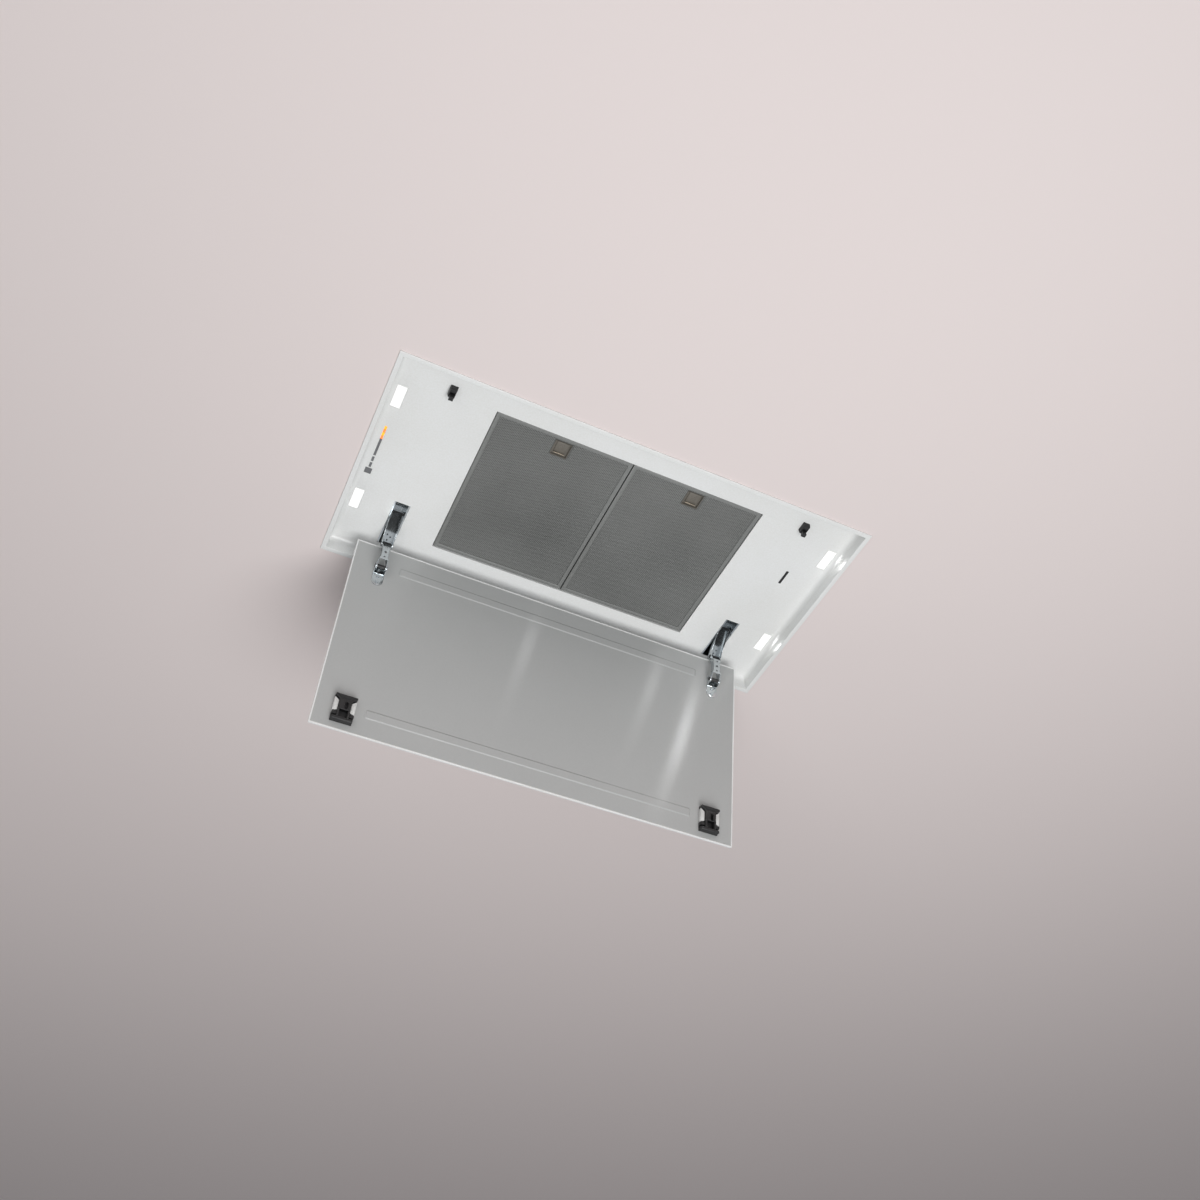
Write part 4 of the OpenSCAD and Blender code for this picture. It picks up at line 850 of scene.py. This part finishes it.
def swung(side, pivot, toward):
    """A hinge piece's own frame: X across, Y from its pivot toward the next, Z up from that line."""
    place = bpy.context.scene.hood_hinges.place
    angle = math.atan2(toward.z - pivot.z, toward.y - pivot.y)
    return Matrix.Translation((side * place, pivot.y, pivot.z)) @ Matrix.Rotation(angle, 4, "X")


def cheek(piece, rows, sheet):
    """Two mirrored plates from rows of (place, half width, low, high) along Y."""
    for e in (-1, 1):
        piece.loft([[(e * h, y, lo), (e * (h - sheet), y, lo), (e * (h - sheet), y, hi), (e * h, y, hi)]
                    for y, h, lo, hi in rows], rounding=0.35)


def round_end(r, start, stop):
    """Places and half heights along a cheek's round end, every 15 degrees, with the angle of each."""
    for t in range(start, stop, 15):
        yield t, r * math.sin(math.radians(t)), r * math.cos(math.radians(t))


class HOOD_OT_hinges(bpy.types.Operator):
    """Makes the folding hinges: arms, waisted links, leaves, and their riveted pins."""

    bl_idname = "hood.hinges"
    bl_label = "Hinges"

    def execute(self, context):
        made = finishes()
        sheet = context.scene.hood_hinges.sheet
        for name, side in SIDES:
            self.arm(name, side, sheet, made)
            self.link(name, side, sheet, made)
            self.leaf(name, side, sheet, made)
            dress(made["nickel"], "hinge_case_" + name, edge=0.4)
        dress(made["burnished"], "case_pins", "knee_pins", "leaf_pins", edge=0.5)
        dress(made["bright"], "leaf_screws", edge=0.5)
        return {"FINISHED"}

    def arm(self, name, side, sheet, made):
        """One arm: a pressed channel with its web up, round ends and a turned-out lower edge."""
        long = (KNEE - CASE_PIVOT).length
        arm = Piece("hinge_arm_pressed_" + name, "arms", made["nickel"])
        # Radius of the round ends, half width, height of the web's upper face, and the cheeks' straight edge
        end, half, top, edge = 7.5, 12.5, 13.5, -3.2
        rows = [(y, half, -max(drop, 0.4), top if t > -60 else top - 2.5 * (-60 - t) / 30)
                for t, y, drop in round_end(end, -90, 1)]
        rows += [(14, half, -4.0, top), (20, half, edge, top), (long - 20, half, edge, top),
                 (long - 13, half, -5.0, top)]
        rows += [(long + y, half, -max(drop, 0.4), top if t < 45 else top - 9.5 * (t - 45) / 45)
                 for t, y, drop in round_end(end, 0, 91)]
        cheek(arm, rows, sheet)
        web_half, web_low = half - 0.2, top - 1.5
        arm.loft([[(-web_half, y, web_low), (web_half, y, web_low), (web_half, y, top), (-web_half, y, top)]
                  for y in (-end + 1, long - 24, long + 3.5)], 0.2)
        for e in (-1, 1):
            arm.box(sorted((e * 12.2, e * 13.5)), (11, long - 16), (-3.3, -2.1), 0.5)
        holes, small = Piece("holes", "arms"), 1.7
        for x, y in ((-4.5, long - 22), (3, long - 18), (-2, long - 10)):
            holes.rod(small, (10, 16), (x, y, 0), edge=0)
        for y in (0, long):
            holes.rod(PIN_HOLE, (-14, 14), (0, y, 0), "X", edge=0)
        arm.carve(holes)
        # Heads of the two rivets at the knee, under and over the web
        rivet_radius, rivet_place = 2.0, long - 8
        for x in (-7.5, 7.5):
            for span in ((11.0, 12.3), (13.3, 14.2)):
                arm.rod(rivet_radius, span, (x, rivet_place, 0), edge=0.6, count=20)
        arm.bm.transform(swung(side, CASE_PIVOT, KNEE))
        arm.done("hinge_steel", ["hinge_arm_" + name])

    def link(self, name, side, sheet, made):
        """One link: a waisted channel with its web down, on two moulded bushes."""
        long = (LEAF_PIVOT - KNEE).length
        link = Piece("hinge_link_pressed_" + name, "links", made["nickel"], made["polyamide"])
        # Radius of the round ends, half widths at the ends and the waist, and the web's two faces
        end, wide, waist, deep, web_top = 7.0, 10.6, 7.4, -12.5, -11
        # The cheeks as far as the middle, mirrored for the other half
        cheeks = [(y, wide, -max(drop, 0.4), max(drop, 0.4)) for _, y, drop in round_end(end, -90, 1)]
        cheeks += [(8, wide, -9.0, 6.0), (12, wide - 0.4, deep, 5.0), (20, waist, deep, 4.0),
                   (30, waist, deep, 3.2)]
        cheek(link, cheeks + [(long - y, *row) for y, *row in reversed(cheeks)], sheet)
        web = [(12, wide - 0.6), (20, waist - 0.2)]
        link.loft([[(-h, y, deep), (h, y, deep), (h, y, web_top), (-h, y, web_top)]
                   for y, h in web + [(long - y, h) for y, h in reversed(web)]], 0.4)
        holes = Piece("holes", "links")
        for y, r in ((19, 2.2), (long / 2, 2.8), (long - 19, 2.2)):
            holes.rod(r, (-14, -9), (0, y, 0), edge=0)
        for y in (0, long):
            holes.rod(PIN_HOLE, (-14, 14), (0, y, 0), "X", edge=0)
        link.carve(holes)
        # Moulded bushes on the pins keep the cheeks apart
        link.part = 1
        bush, bore, face = 4.2, 2.6, wide - 1.6
        for y in (0, long):
            link.turned([(bush, -face), (bush, face), (bore, face), (bore, -face)], (0, y, 0), "X", 24,
                        closed=True)
        link.bm.transform(swung(side, KNEE, LEAF_PIVOT))
        link.done("hinge_steel", ["hinge_link_" + name])

    def leaf(self, name, side, sheet, made):
        """One leaf: a foot with a round end, screwed to the panel, and two ears for the pin."""
        leaf = Piece("hinge_leaf_pressed_" + name, "panel", made["nickel"])
        # Half width, height of the foot's lower face, radius of the ears' round top, places of the screws
        half, seat, ear, screws = 12.5, -1.0, 8, (80, 94)
        foot = [(-half, -50), (-half, -91)]
        foot += [(half * math.cos(math.radians(t)), -90.5 + half * math.sin(math.radians(t)))
                 for t in range(190, 351, 16)]
        foot += [(half, -91), (half, -50), (half - 2, -48), (2 - half, -48)]
        leaf.prism(foot, (seat, seat + 2), 0.5)
        rows = [(-PIVOT_DEPTH - 12.5, half, seat + 0.4, seat + 2.2),
                (-PIVOT_DEPTH - 11.5, half, seat + 0.2, seat + 5)]
        rows += [(-PIVOT_DEPTH + y, half, seat + 0.2, PIVOT_RISE + rise)
                 for _, y, rise in round_end(ear, -75, 76)]
        rows += [(-PIVOT_DEPTH + 9.5, half, seat + 0.2, seat + 6),
                 (-PIVOT_DEPTH + 10.5, half, seat + 0.4, seat + 2.2)]
        cheek(leaf, rows, sheet)
        holes = Piece("holes", "panel")
        holes.rod(PIN_HOLE, (-14, 14), (0, -PIVOT_DEPTH, PIVOT_RISE), "X", edge=0)
        for s in screws:
            holes.rod(2.1, (seat - 1, seat + 4), (0, -s, 0), edge=0)
        leaf.carve(holes)
        # A pressed ring round each screw, and a stop for the link
        for s in screws:
            leaf.turned([(4.6, seat + 1.8), (4.4, seat + 2.5), (3.9, seat + 2.5), (3.7, seat + 1.8)],
                        (0, -s, 0), count=28, closed=True)
        leaf.box((-11, 11), (-74.5, -72.8), (seat + 0.3, seat + 4.5), 0.5)
        place = bpy.context.scene.hood_hinges.place
        leaf.bm.transform(panel_frame() @ Matrix.Translation((side * place, 0, 0)))
        leaf.done("hinge_steel", ["hinge_leaf_" + name])


def panel_frame():
    """The open panel's own frame: its hinge-side edge on X, its depth along -Y, its liner's side up."""
    angle = math.radians(PANEL_OPEN)
    across, up = math.cos(angle), math.sin(angle)
    edge_y = LEAF_PIVOT.y + PIVOT_DEPTH * across + PIVOT_RISE * up
    edge_z = LEAF_PIVOT.z + PIVOT_DEPTH * up - PIVOT_RISE * across
    return Matrix.Translation((0, edge_y, edge_z)) @ Matrix.Rotation(angle, 4, "X")


class HOOD_OT_panel(bpy.types.Operator):
    """Makes the panel: folded white skin, pressed grey liner and the board between them."""

    bl_idname = "hood.panel"
    bl_label = "Drop-down panel"

    def execute(self, context):
        panel, made = context.scene.hood_panel, finishes()
        half = (panel.width / 2, panel.depth / 2)
        thick = panel.thick
        # Radii of the outer edge, the lip's edge and the lip's end, and thickness of the lip and the skin
        outer, crest, end, lip, sheet = 1.4, 0.7, 0.3, 0.8, 1.0
        # Section from the outer face round the edge to the lip, and back inside
        section = [(outer + x, outer - thick + z) for x, z in arc((0, 0), outer, 270, 180, 5)]
        section += [(crest + x, -crest + z) for x, z in arc((0, 0), crest, 180, 90, 4)]
        section += [(panel.lip - end + x, -end + z) for x, z in arc((0, 0), end, 90, 0, 2)]
        section += [(panel.lip, -lip), (sheet, -lip), (sheet, sheet - thick)]
        skin = Piece("panel_skin_folded", "panel", made["enamel"])
        skin.loft([[(x, y - half[1], z) for x, y, _ in
                    ring_of(half[0] - d, half[1] - d, z, radius=max(panel.corner - d, 0.3), steps=5)]
                   for d, z in section])
        skin.bm.transform(panel_frame())
        skin.done("panel_enamel", ["panel_skin"])
        self.liner(panel, made)
        dress(made["paper"], "panel_core", edge=0)
        return {"FINISHED"}

    def liner(self, panel, made):
        """The pressed sheet inside the skin's lip, with a raised bead along each long edge."""
        gap, seat, thick = 1.2, -1.0, 0.7
        half_x, deep = panel.width / 2 - gap, panel.depth - gap
        # A bead's half width, its flank, the radius of its corners, and where it ends on X
        wide, flank, corner, end = panel.bead_width / 2, 3.2, 4.5, 357
        xs = set(np.linspace(-half_x, half_x, 40).round(3))
        for x in (-end, end):
            xs |= set(np.linspace(x - 6, x + 6, 19).round(3))
        ys = {-gap, -deep} | set(np.linspace(-deep, -gap, 22).round(3))
        for s in BEADS:
            ys |= set(np.linspace(-s - wide - 1, -s + wide + 1, 36).round(3))
        xs, ys = np.array(sorted(xs)), np.array(sorted(ys))
        gx, gy = np.meshgrid(xs, ys, indexing="ij")
        height = np.full(gx.shape, seat)
        for s in BEADS:
            over_x, over_y = abs(gx) - end + corner, abs(gy + s) - wide + corner
            outside = np.hypot(np.maximum(over_x, 0), np.maximum(over_y, 0))
            outside += np.minimum(np.maximum(over_x, over_y), 0)
            share = np.clip((corner - outside) / flank, 0, 1)
            height += panel.bead_height * share * share * (3 - 2 * share)
        # A pressed sheet is never quite flat: waves of a third of a metre bend the reflections a little
        wave, wave_x, wave_y = 0.06, 61, 47
        height += wave * np.sin(gx / wave_x) * np.sin(gy / wave_y + 1)
        liner = Piece("panel_liner_pressed", "panel", made["lacquer"])
        liner.sheet(gx, gy, height, thick)
        liner.bm.transform(panel_frame())
        liner.done("liner_grey", ["panel_liner"])


def both_halves(outline):
    """A whole outline from its half at +X, listed from the hinge side on."""
    return outline + [(-x, y) for x, y in reversed(outline)]


class HOOD_OT_panel_latches(bpy.types.Operator):
    """Makes the panel's two moulded latches and the pale pads beside their stems."""

    bl_idname = "hood.panel_latches"
    bl_label = "Panel latches"

    def execute(self, context):
        made = finishes()
        pads = Piece("latch_pads_moulded", "panel", made["pad"])
        # Half widths of head and stem; the base plate's faces; where the forms over the plate start
        wide, slim, plate, low = 22, 12.5, (-1, 3), 2
        # Half outlines on X and along the panel's depth: base plate as an I, flared head, crown on the head
        base = [(wide, -390), (wide, -396), (slim, -403), (slim, -425.5), (wide, -429), (wide, -447)]
        head = [(wide, -390), (wide, -395.2), (18, -396.8), (15, -399.2), (13.2, -402), (slim, -405)]
        crown = [(19, -391.5), (17, -393.5), (11, -398)]
        # The finger slot: its middle, its radius and the middles of its round ends
        slot_x, slot_y, slot_radius, slot_ends = 2.5, -414.5, 3, (6, -5.5)
        for name, side in SIDES:
            latch = Piece("panel_latch_moulded_" + name, "panel", made["polyamide"])
            latch.to = Matrix.Translation((side * CATCH[0], 0, 0))
            latch.prism(both_halves(base), plate, 0.6)
            latch.prism(both_halves(head), (low, 12.5), 1.2, 3)
            latch.prism(both_halves(crown), (12.2, 13.6), 0.6)
            stem, slot = Piece("stem", "panel"), Piece("slot", "panel")
            stem.to = slot.to = latch.to
            stem.box((-slim, slim), (-423.4, -402), (low, 13), 1.2, 3)
            slot.prism([(x + slot_x, y + slot_y) for x, y in
                        arc((0, slot_ends[0]), slot_radius, 0, 180, 8) +
                        arc((0, slot_ends[1]), slot_radius, 180, 360, 8)], (6, 15), 0)
            stem.carve(slot)
            latch.join(stem)
            # On both sides: the pocket's wall, a rib beside the finger slot, a foot
            for e in (-1, 1):
                latch.box(sorted((e * 8.5, e * slim)), (-441, -422), (low, 14), 0.9, 3)
                latch.box(about(slot_x + e * 4.4, 0.6), (-420, -406), (12.6, 13.9), 0.4)
                latch.box(sorted((e * 12, e * wide)), (-436.5, -430), (low, 11.5), 1.0)
            # The pocket's upper end, the foot bar and the rib over it
            latch.box((-9, 9), (-423.4, -421.4), (low, 12), 0.5)
            latch.box((-21.5, 21.5), (-447, -439.8), (low, 13), 2.2, 4)
            latch.box((-9, 9), (-441.5, -439.6), (low, 10), 0.6)
            latch.bm.transform(panel_frame())
            latch.done("black_polyamide", ["panel_latch_" + name])
            # A pad on each side of the stem, with three grip ribs
            pads.to = latch.to
            for e in (-1, 1):
                corners = [(12.8, -403.6), (wide, -396.6), (wide, -428.4), (12.8, -424.9)]
                pads.prism([(e * x, y) for x, y in corners[::e]], (-1, 9.2), 1.2, 3)
                for k in range(3):
                    pads.box(about(e * (14.9 + 2.7 * k), 0.4), (-424, -404), (9, 9.9), 0.3)
        pads.bm.transform(panel_frame())
        pads.done("pale_pad", ["latch_pads"])
        return {"FINISHED"}


# Finish and edge radius in millimetres of the solids that keep their own form, by slot
SLOT_FINISH = {
    "white_enamel": ("enamel", 0.3), "galvanised_sheet": ("zinc", 0.4), "zinc_fasteners": ("bright", 0.3),
    "hinge_steel": ("nickel", 0.4), "pin_steel": ("bright", 0.4), "black_polyamide": ("polyamide", 0.4),
    "grey_polypropylene": ("propylene", 0.4), "white_abs": ("abs", 0.4), "lens_acrylic": ("opal", 0.2),
    "lamp_aluminium": ("cast", 0.4), "orange_lens": ("amber", 0.2), "smoke_lens": ("smoke", 0.3),
    "circuit_board": ("board", 0.1), "filter_aluminium": ("expanded", 0.2),
    "frame_aluminium": ("rolled", 0.3), "motor_paint": ("motor", 0.5), "rubber_mount": ("rubber", 0.4),
    "capacitor_can": ("cast", 0.5),
    "panel_enamel": ("enamel", 0.3), "liner_grey": ("lacquer", 0.3), "core_board": ("paper", 0.0),
    "anodised_aluminium": ("anodised", 0.3), "pale_pad": ("pad", 0.4),
}


class HOOD_OT_housing(bpy.types.Operator):
    """Makes the galvanised housing's beaded lid, its hanging brackets and the moulded collar."""

    bl_idname = "hood.housing"
    bl_label = "Housing and outlet"

    def execute(self, context):
        made = finishes()
        self.lid(made)
        self.brackets(made)
        self.collar(made)
        return {"FINISHED"}

    def lid(self, made):
        """The lid: a flat sheet with one wide pressed field and a narrower one at each end."""
        lo, hi = (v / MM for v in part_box("body_lid"))
        # Limits of the fields on X and Y, the lid's clearance, a field's flank and height, and its fine band
        beads = [(-200, 200, -150, 150), (-330, -240, -150, 150), (240, 330, -150, 150)]
        gap, flank, bead_rise, band = 1.5, 8, 2.0, 9
        xs = set(np.linspace(gap - hi.x, hi.x - gap, 24).round(2))
        ys = set(np.linspace(gap - hi.y, hi.y - gap, 14).round(2))
        for x0, x1, y0, y1 in beads:
            for places, ends in ((xs, (x0, x1)), (ys, (y0, y1))):
                for v in ends:
                    places |= set(np.linspace(v - band, v + band, 13).round(2))
        xs, ys = np.array(sorted(xs)), np.array(sorted(ys))
        gx, gy = np.meshgrid(xs, ys, indexing="ij")
        rise = np.zeros(gx.shape)
        for x0, x1, y0, y1 in beads:
            off = np.maximum(abs(gx - (x0 + x1) / 2) - (x1 - x0) / 2,
                             abs(gy - (y0 + y1) / 2) - (y1 - y0) / 2)
            rise = np.maximum(rise, np.clip(1 - (off / flank) ** 2, 0, 1) ** 1.5)
        piece = Piece("body_lid_beaded", "hood", made["zinc"])
        piece.sheet(gx, gy, hi.z + bead_rise * rise, hi.z - lo.z)
        piece.done("galvanised_sheet", ["body_lid"])

    def brackets(self, made):
        """The four brackets, each a strip folded twice, from the housing's top up to the rods' plane."""
        lo, hi = (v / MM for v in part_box("suspension_brackets"))
        piece = Piece("suspension_brackets_folded", "hood", made["zinc"])
        # Steel and bend radius; ends of a bracket and its upright on X, its middle and half width on Y
        sheet, r = 2.5, 3.0
        inner, turn, outer, middle, half = 400, 425, 455, 200, 20
        # Section: along the lower side to the outer end, and back along the upper side
        path = [(inner, lo.z), (turn - r, lo.z)]
        path += [(turn - r + x, lo.z + r + z) for x, z in arc((0, 0), r, 270, 360, 4)][1:]
        path += [(turn, hi.z - sheet - r)]
        path += [(turn + sheet + r + x, hi.z - r - sheet + z) for x, z in arc((0, 0), r, 180, 90, 4)]
        path += [(outer, hi.z - sheet), (outer, hi.z)]
        path += [(turn + x + r, hi.z - r + z) for x, z in arc((0, 0), r, 90, 180, 4)]
        path += [(turn - sheet, lo.z + sheet + r)]
        path += [(turn - sheet - r + x, lo.z + sheet + r + z) for x, z in arc((0, 0), r, 360, 270, 4)]
        path += [(inner, lo.z + sheet)]
        for sx in (-1, 1):
            for y in (-middle, middle):
                piece.loft([[(sx * px, y + e, pz) for px, pz in path] for e in (-half, half)], 0.4)
        piece.done("galvanised_sheet", ["suspension_brackets"])

    def collar(self, made):
        """The collar: flange with rounded corners and a moulded tube with a stop bead."""
        lo, hi = (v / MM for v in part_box("outlet_collar"))
        mid_z = (lo.z + hi.z) / 2
        start, mouth = lo.y, hi.y
        piece = Piece("outlet_collar_moulded", "hood", made["propylene"])
        outer, inner = 74.5, 73.3
        # Height of the stop bead over the tube
        bead = 0.9
        tube = [(inner, start + 0.2), (outer + 2.5, start + 0.2), (outer + 0.6, start + 3.0),
                (outer, start + 5.0), (outer, start + 14), (outer + bead, start + 15.5),
                (outer + bead, start + 17), (outer, start + 18.5), (outer, mouth - 6),
                (outer - 0.5, mouth - 0.3), (outer - 0.8, mouth), (inner - 0.2, mouth),
                (inner - 0.4, mouth - 0.4), (inner, mouth - 6), (inner, start + 18)]
        piece.turned(tube, (0, 0, mid_z), "Y", 96, closed=True)
        # The flange: its corners' radius, its thickness, and its hole round the tube
        corner, flange, hole = 8, 1.5, inner + 0.6
        outer_loop, inner_loop = [], []
        for px, pz, _ in ring_of(hi.x, (hi.z - lo.z) / 2, 0, radius=corner, steps=8):
            outer_loop.append((px, pz))
            t = math.atan2(pz, px)
            inner_loop.append((hole * math.cos(t), hole * math.sin(t)))
        piece.loft([[(px, y, mid_z + pz) for px, pz in loop] for loop, y in (
            (outer_loop, start), (outer_loop, start + flange), (inner_loop, start + flange),
            (inner_loop, start))], closed=True)
        piece.done("grey_polypropylene", ["outlet_collar"])


class HOOD_OT_solids(bpy.types.Operator):
    """Gives every solid that keeps its own form the finish of its slot and small edge radii."""

    bl_idname = "hood.solids"
    bl_label = "Other solids"

    def execute(self, context):
        made = finishes()
        for part in frame["record"]["subparts"]:
            node = frame["nodes"][part["node"]]
            if not any(m.type == "BEVEL" for m in node.modifiers) and not node.hide_render:
                key, edge = SLOT_FINISH[part["material_slot"]]
                dress(made[key], part["node"], edge=edge)
        return {"FINISHED"}


# Stage


class HOOD_OT_stage(bpy.types.Operator):
    """Sets the painted ceiling, soft lights and the camera."""

    bl_idname = "hood.stage"
    bl_label = "Ceiling, light and camera"

    def execute(self, context):
        stage = context.scene.hood_stage
        self.ceiling(stage)
        # Even light: dim for the object, brighter where gloss mirrors it, and white for the camera
        world = bpy.data.worlds.new("pale_world")
        context.scene.world = world
        world.use_nodes = True
        tree = world.node_tree
        seen = put(tree, "ShaderNodeLightPath")
        even = tree.nodes["Background"]
        pale = linear("#F7FBFF")
        even.inputs["Color"].default_value = pale
        even.inputs["Strength"].default_value = stage.world_light
        mirrored = put(tree, "ShaderNodeBackground", {"Color": pale, "Strength": stage.gloss_light})
        gloss = put(tree, "ShaderNodeMixShader", {0: seen.outputs["Is Glossy Ray"]})
        tree.links.new(even.outputs[0], gloss.inputs[1])
        tree.links.new(mirrored.outputs[0], gloss.inputs[2])
        white = put(tree, "ShaderNodeBackground", {"Color": (1, 1, 1, 1), "Strength": 1.0})
        pick = put(tree, "ShaderNodeMixShader", {0: seen.outputs["Is Camera Ray"]})
        tree.links.new(gloss.outputs[0], pick.inputs[1])
        tree.links.new(white.outputs[0], pick.inputs[2])
        tree.links.new(pick.outputs[0], tree.nodes["World Output"].inputs["Surface"])
        # Soft lamps: name, place, target and diameter in metres, and share of the key light's power
        middle = (0, -0.2, -0.25)
        for name, place, target, size, share in (("key", (0.3, -1.2, -3.4), middle, 2.4, 1.0),
                                                 ("fill", (-3.0, -2.6, -1.9), middle, 2.6, 0.31),
                                                 ("low_fill", (-2.5, 1.5, -2.4), middle, 2.6, 0.1),
                                                 ("over", (1.5, -2.5, 3.0), (0, 0, 0), 3.0, 1.0)):
            self.lamp(name, place, target, size, stage.key_light * share)
        # Small lamps that only gloss shows: the lit lenses as the right cove mirrors them
        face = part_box("lamp_lenses")[0].z - 0.8 * MM
        for x, y in LAMP_PLACES[2:]:
            self.gloss_lamp("lens_glow", (x * MM, y * MM, face), (1, 0, -1), (0.022, 0.054), 0.05, 175)
        # And the streaks down the drawn lacquer: place in metres and power
        aim_y, aim_z = 0.25, -0.42
        for place, power in (((0.545, -0.240, -0.252), 0.06), ((0.025, -0.050, -0.235), 0.006),
                             ((0.360, -0.050, -0.235), 0.007)):
            toward = (place[0] * -0.1, aim_y - place[1], aim_z - place[2])
            self.gloss_lamp("streak", place, toward, (0.03, 0.03), power, 70)
        # Black cards that paint dark reflections on the bright arms
        for name, side in SIDES:
            self.card("arm_dark_reflection_card_" + name, swung(side, CASE_PIVOT, KNEE), Vector(stage.eye))
        self.camera(context, stage)
        context.scene.view_settings.view_transform = "Standard"
        return {"FINISHED"}

    def ceiling(self, stage):
        """A painted board round the cut-out, which the camera sees only from below."""
        # Half size of the board, and of its cut-out under the tray's rim, in millimetres
        reach, cut = 12000, (518, 260)
        # Emulsion paint rolled on plaster: pale and matt, so that only the soft light shades it
        paint = bpy.data.materials.new("matt_ceiling_paint")
        paint.use_nodes = True
        tree = paint.node_tree
        shader = tree.nodes["Principled BSDF"]
        shader.inputs["Base Color"].default_value = linear(stage.ceiling)
        shader.inputs["Roughness"].default_value = 0.85
        side = put(tree, "ShaderNodeNewGeometry")
        seen = put(tree, "ShaderNodeLightPath")
        back = put(tree, "ShaderNodeMath", {0: side.outputs["Backfacing"], 1: seen.outputs["Is Camera Ray"]},
                   operation="MULTIPLY")
        clear = put(tree, "ShaderNodeBsdfTransparent")
        pick = put(tree, "ShaderNodeMixShader", {0: back.outputs[0]})
        tree.links.new(shader.outputs[0], pick.inputs[1])
        tree.links.new(clear.outputs[0], pick.inputs[2])
        tree.links.new(pick.outputs[0], tree.nodes["Material Output"].inputs["Surface"])
        loops = [ring_of(reach, reach, CEILING), ring_of(*cut, CEILING)]
        verts = [Vector(v) * MM for loop in loops for v in loop]
        mesh = bpy.data.meshes.new("ceiling")
        mesh.from_pydata(verts, [], [(k, k + 4, (k + 1) % 4 + 4, (k + 1) % 4) for k in range(4)])
        mesh.update()
        if mesh.polygons[0].normal.z > 0:
            mesh.flip_normals()
        board = bpy.data.objects.new("ceiling_board", mesh)
        board.data.materials.append(paint)
        bpy.context.scene.collection.objects.link(board)

    def lamp(self, name, place, target, size, power):
        """One large soft lamp that isn't seen itself."""
        light = bpy.data.lights.new(name, "AREA")
        light.shape, light.size, light.energy = "DISK", size, power
        thing = bpy.data.objects.new(name, light)
        thing.location = place
        thing.rotation_euler = (Vector(target) - Vector(place)).to_track_quat("-Z", "Y").to_euler()
        thing.visible_camera = False
        bpy.context.scene.collection.objects.link(thing)
        return thing

    def gloss_lamp(self, name, place, toward, size, power, spread):
        """One small rectangular lamp that shows only as a highlight."""
        thing = self.lamp(name, place, Vector(place) + Vector(toward), size[0], power)
        thing.data.shape, thing.data.size_y = "RECTANGLE", size[1]
        thing.data.spread = math.radians(spread)
        thing.visible_diffuse = False

    def card(self, name, arm, eye):
        """A small black card that only gloss shows: it paints a dark reflection where a bright arm mirrors it for
        the camera.
        """
        # The spot on the arm's web and the card's distance in millimetres, the card's half size in metres
        along, web, away, half = 22.5, 12, 32, (0.019, 0.0205)
        spot = arm @ Vector((0, along, web)) * MM
        normal = -arm.to_3x3().col[2]
        toward = (spot - eye).normalized().reflect(normal)
        # Near-black card that only reflections show: it paints a dark reflection on the steel that mirrors it
        black = bpy.data.materials.get("painted_dark_reflection_card") or bpy.data.materials.new("painted_dark_reflection_card")
        black.use_nodes = True
        black.node_tree.nodes["Principled BSDF"].inputs["Base Color"].default_value = linear("#080808")
        mesh = bpy.data.meshes.new(name)
        mesh.from_pydata(ring_of(*half, 0), [], [(0, 1, 2, 3)])
        mesh.materials.append(black)
        board = bpy.data.objects.new(name, mesh)
        board.location = spot + toward * away * MM
        board.rotation_euler = toward.to_track_quat("-Z", "Y").to_euler()
        board.visible_camera = board.visible_diffuse = False
        board.visible_shadow = board.visible_transmission = False
        bpy.context.scene.collection.objects.link(board)

    def camera(self, context, stage):
        """The camera stands below the hood and looks up at the open panel."""
        camera = bpy.data.cameras.new("camera")
        camera.lens, camera.sensor_width = stage.lens, 36
        thing = bpy.data.objects.new("camera", camera)
        # The picture's right and the line of sight, in the hood's frame
        right = Vector((0.9064, -0.4224, 0.0086)).normalized()
        ahead = Vector((0.2782, 0.612, 0.7403)).normalized()
        down = ahead.cross(right).normalized()
        right = down.cross(ahead)
        turn = Matrix((right, -down, -ahead)).transposed().to_4x4()
        thing.matrix_world = Matrix.Translation(stage.eye) @ turn
        context.scene.collection.objects.link(thing)
        context.scene.camera = thing


# Panel of the add-on

GROUPS = (("hood_tray", TraySettings), ("hood_filters", FilterSettings), ("hood_hinges", HingeSettings),
          ("hood_panel", PanelSettings), ("hood_finishes", FinishSettings), ("hood_stage", StageSettings))
# The operators in the order in which main() calls them
STEPS = (HOOD_OT_tray, HOOD_OT_filters, HOOD_OT_filter_latches, HOOD_OT_lamps, HOOD_OT_controls,
         HOOD_OT_catches, HOOD_OT_hinges, HOOD_OT_panel, HOOD_OT_panel_latches, HOOD_OT_housing,
         HOOD_OT_solids, HOOD_OT_stage)


class HOOD_PT_settings(bpy.types.Panel):
    """Sizes, colours and building steps of the ceiling hood."""

    bl_idname = "HOOD_PT_settings"
    bl_label = "Ceiling Range Hood"
    bl_space_type = "VIEW_3D"
    bl_region_type = "UI"
    bl_category = "Hood"

    def draw(self, context):
        for name, group in GROUPS:
            box = self.layout.box()
            for key in group.__annotations__:
                box.prop(getattr(context.scene, name), key)
        for step in STEPS:
            self.layout.operator(step.bl_idname)


CLASSES = [group for _, group in GROUPS] + list(STEPS) + [HOOD_PT_settings]


def register():
    for item in CLASSES:
        bpy.utils.register_class(item)
    for name, group in GROUPS:
        setattr(bpy.types.Scene, name, PointerProperty(type=group))


def unregister():
    for name, _ in GROUPS:
        delattr(bpy.types.Scene, name)
    for item in reversed(CLASSES):
        bpy.utils.unregister_class(item)


def main():
    register()
    for step in STEPS:
        family, verb = step.bl_idname.split(".")
        getattr(getattr(bpy.ops, family), verb)()


if __name__ == "__main__":
    main()
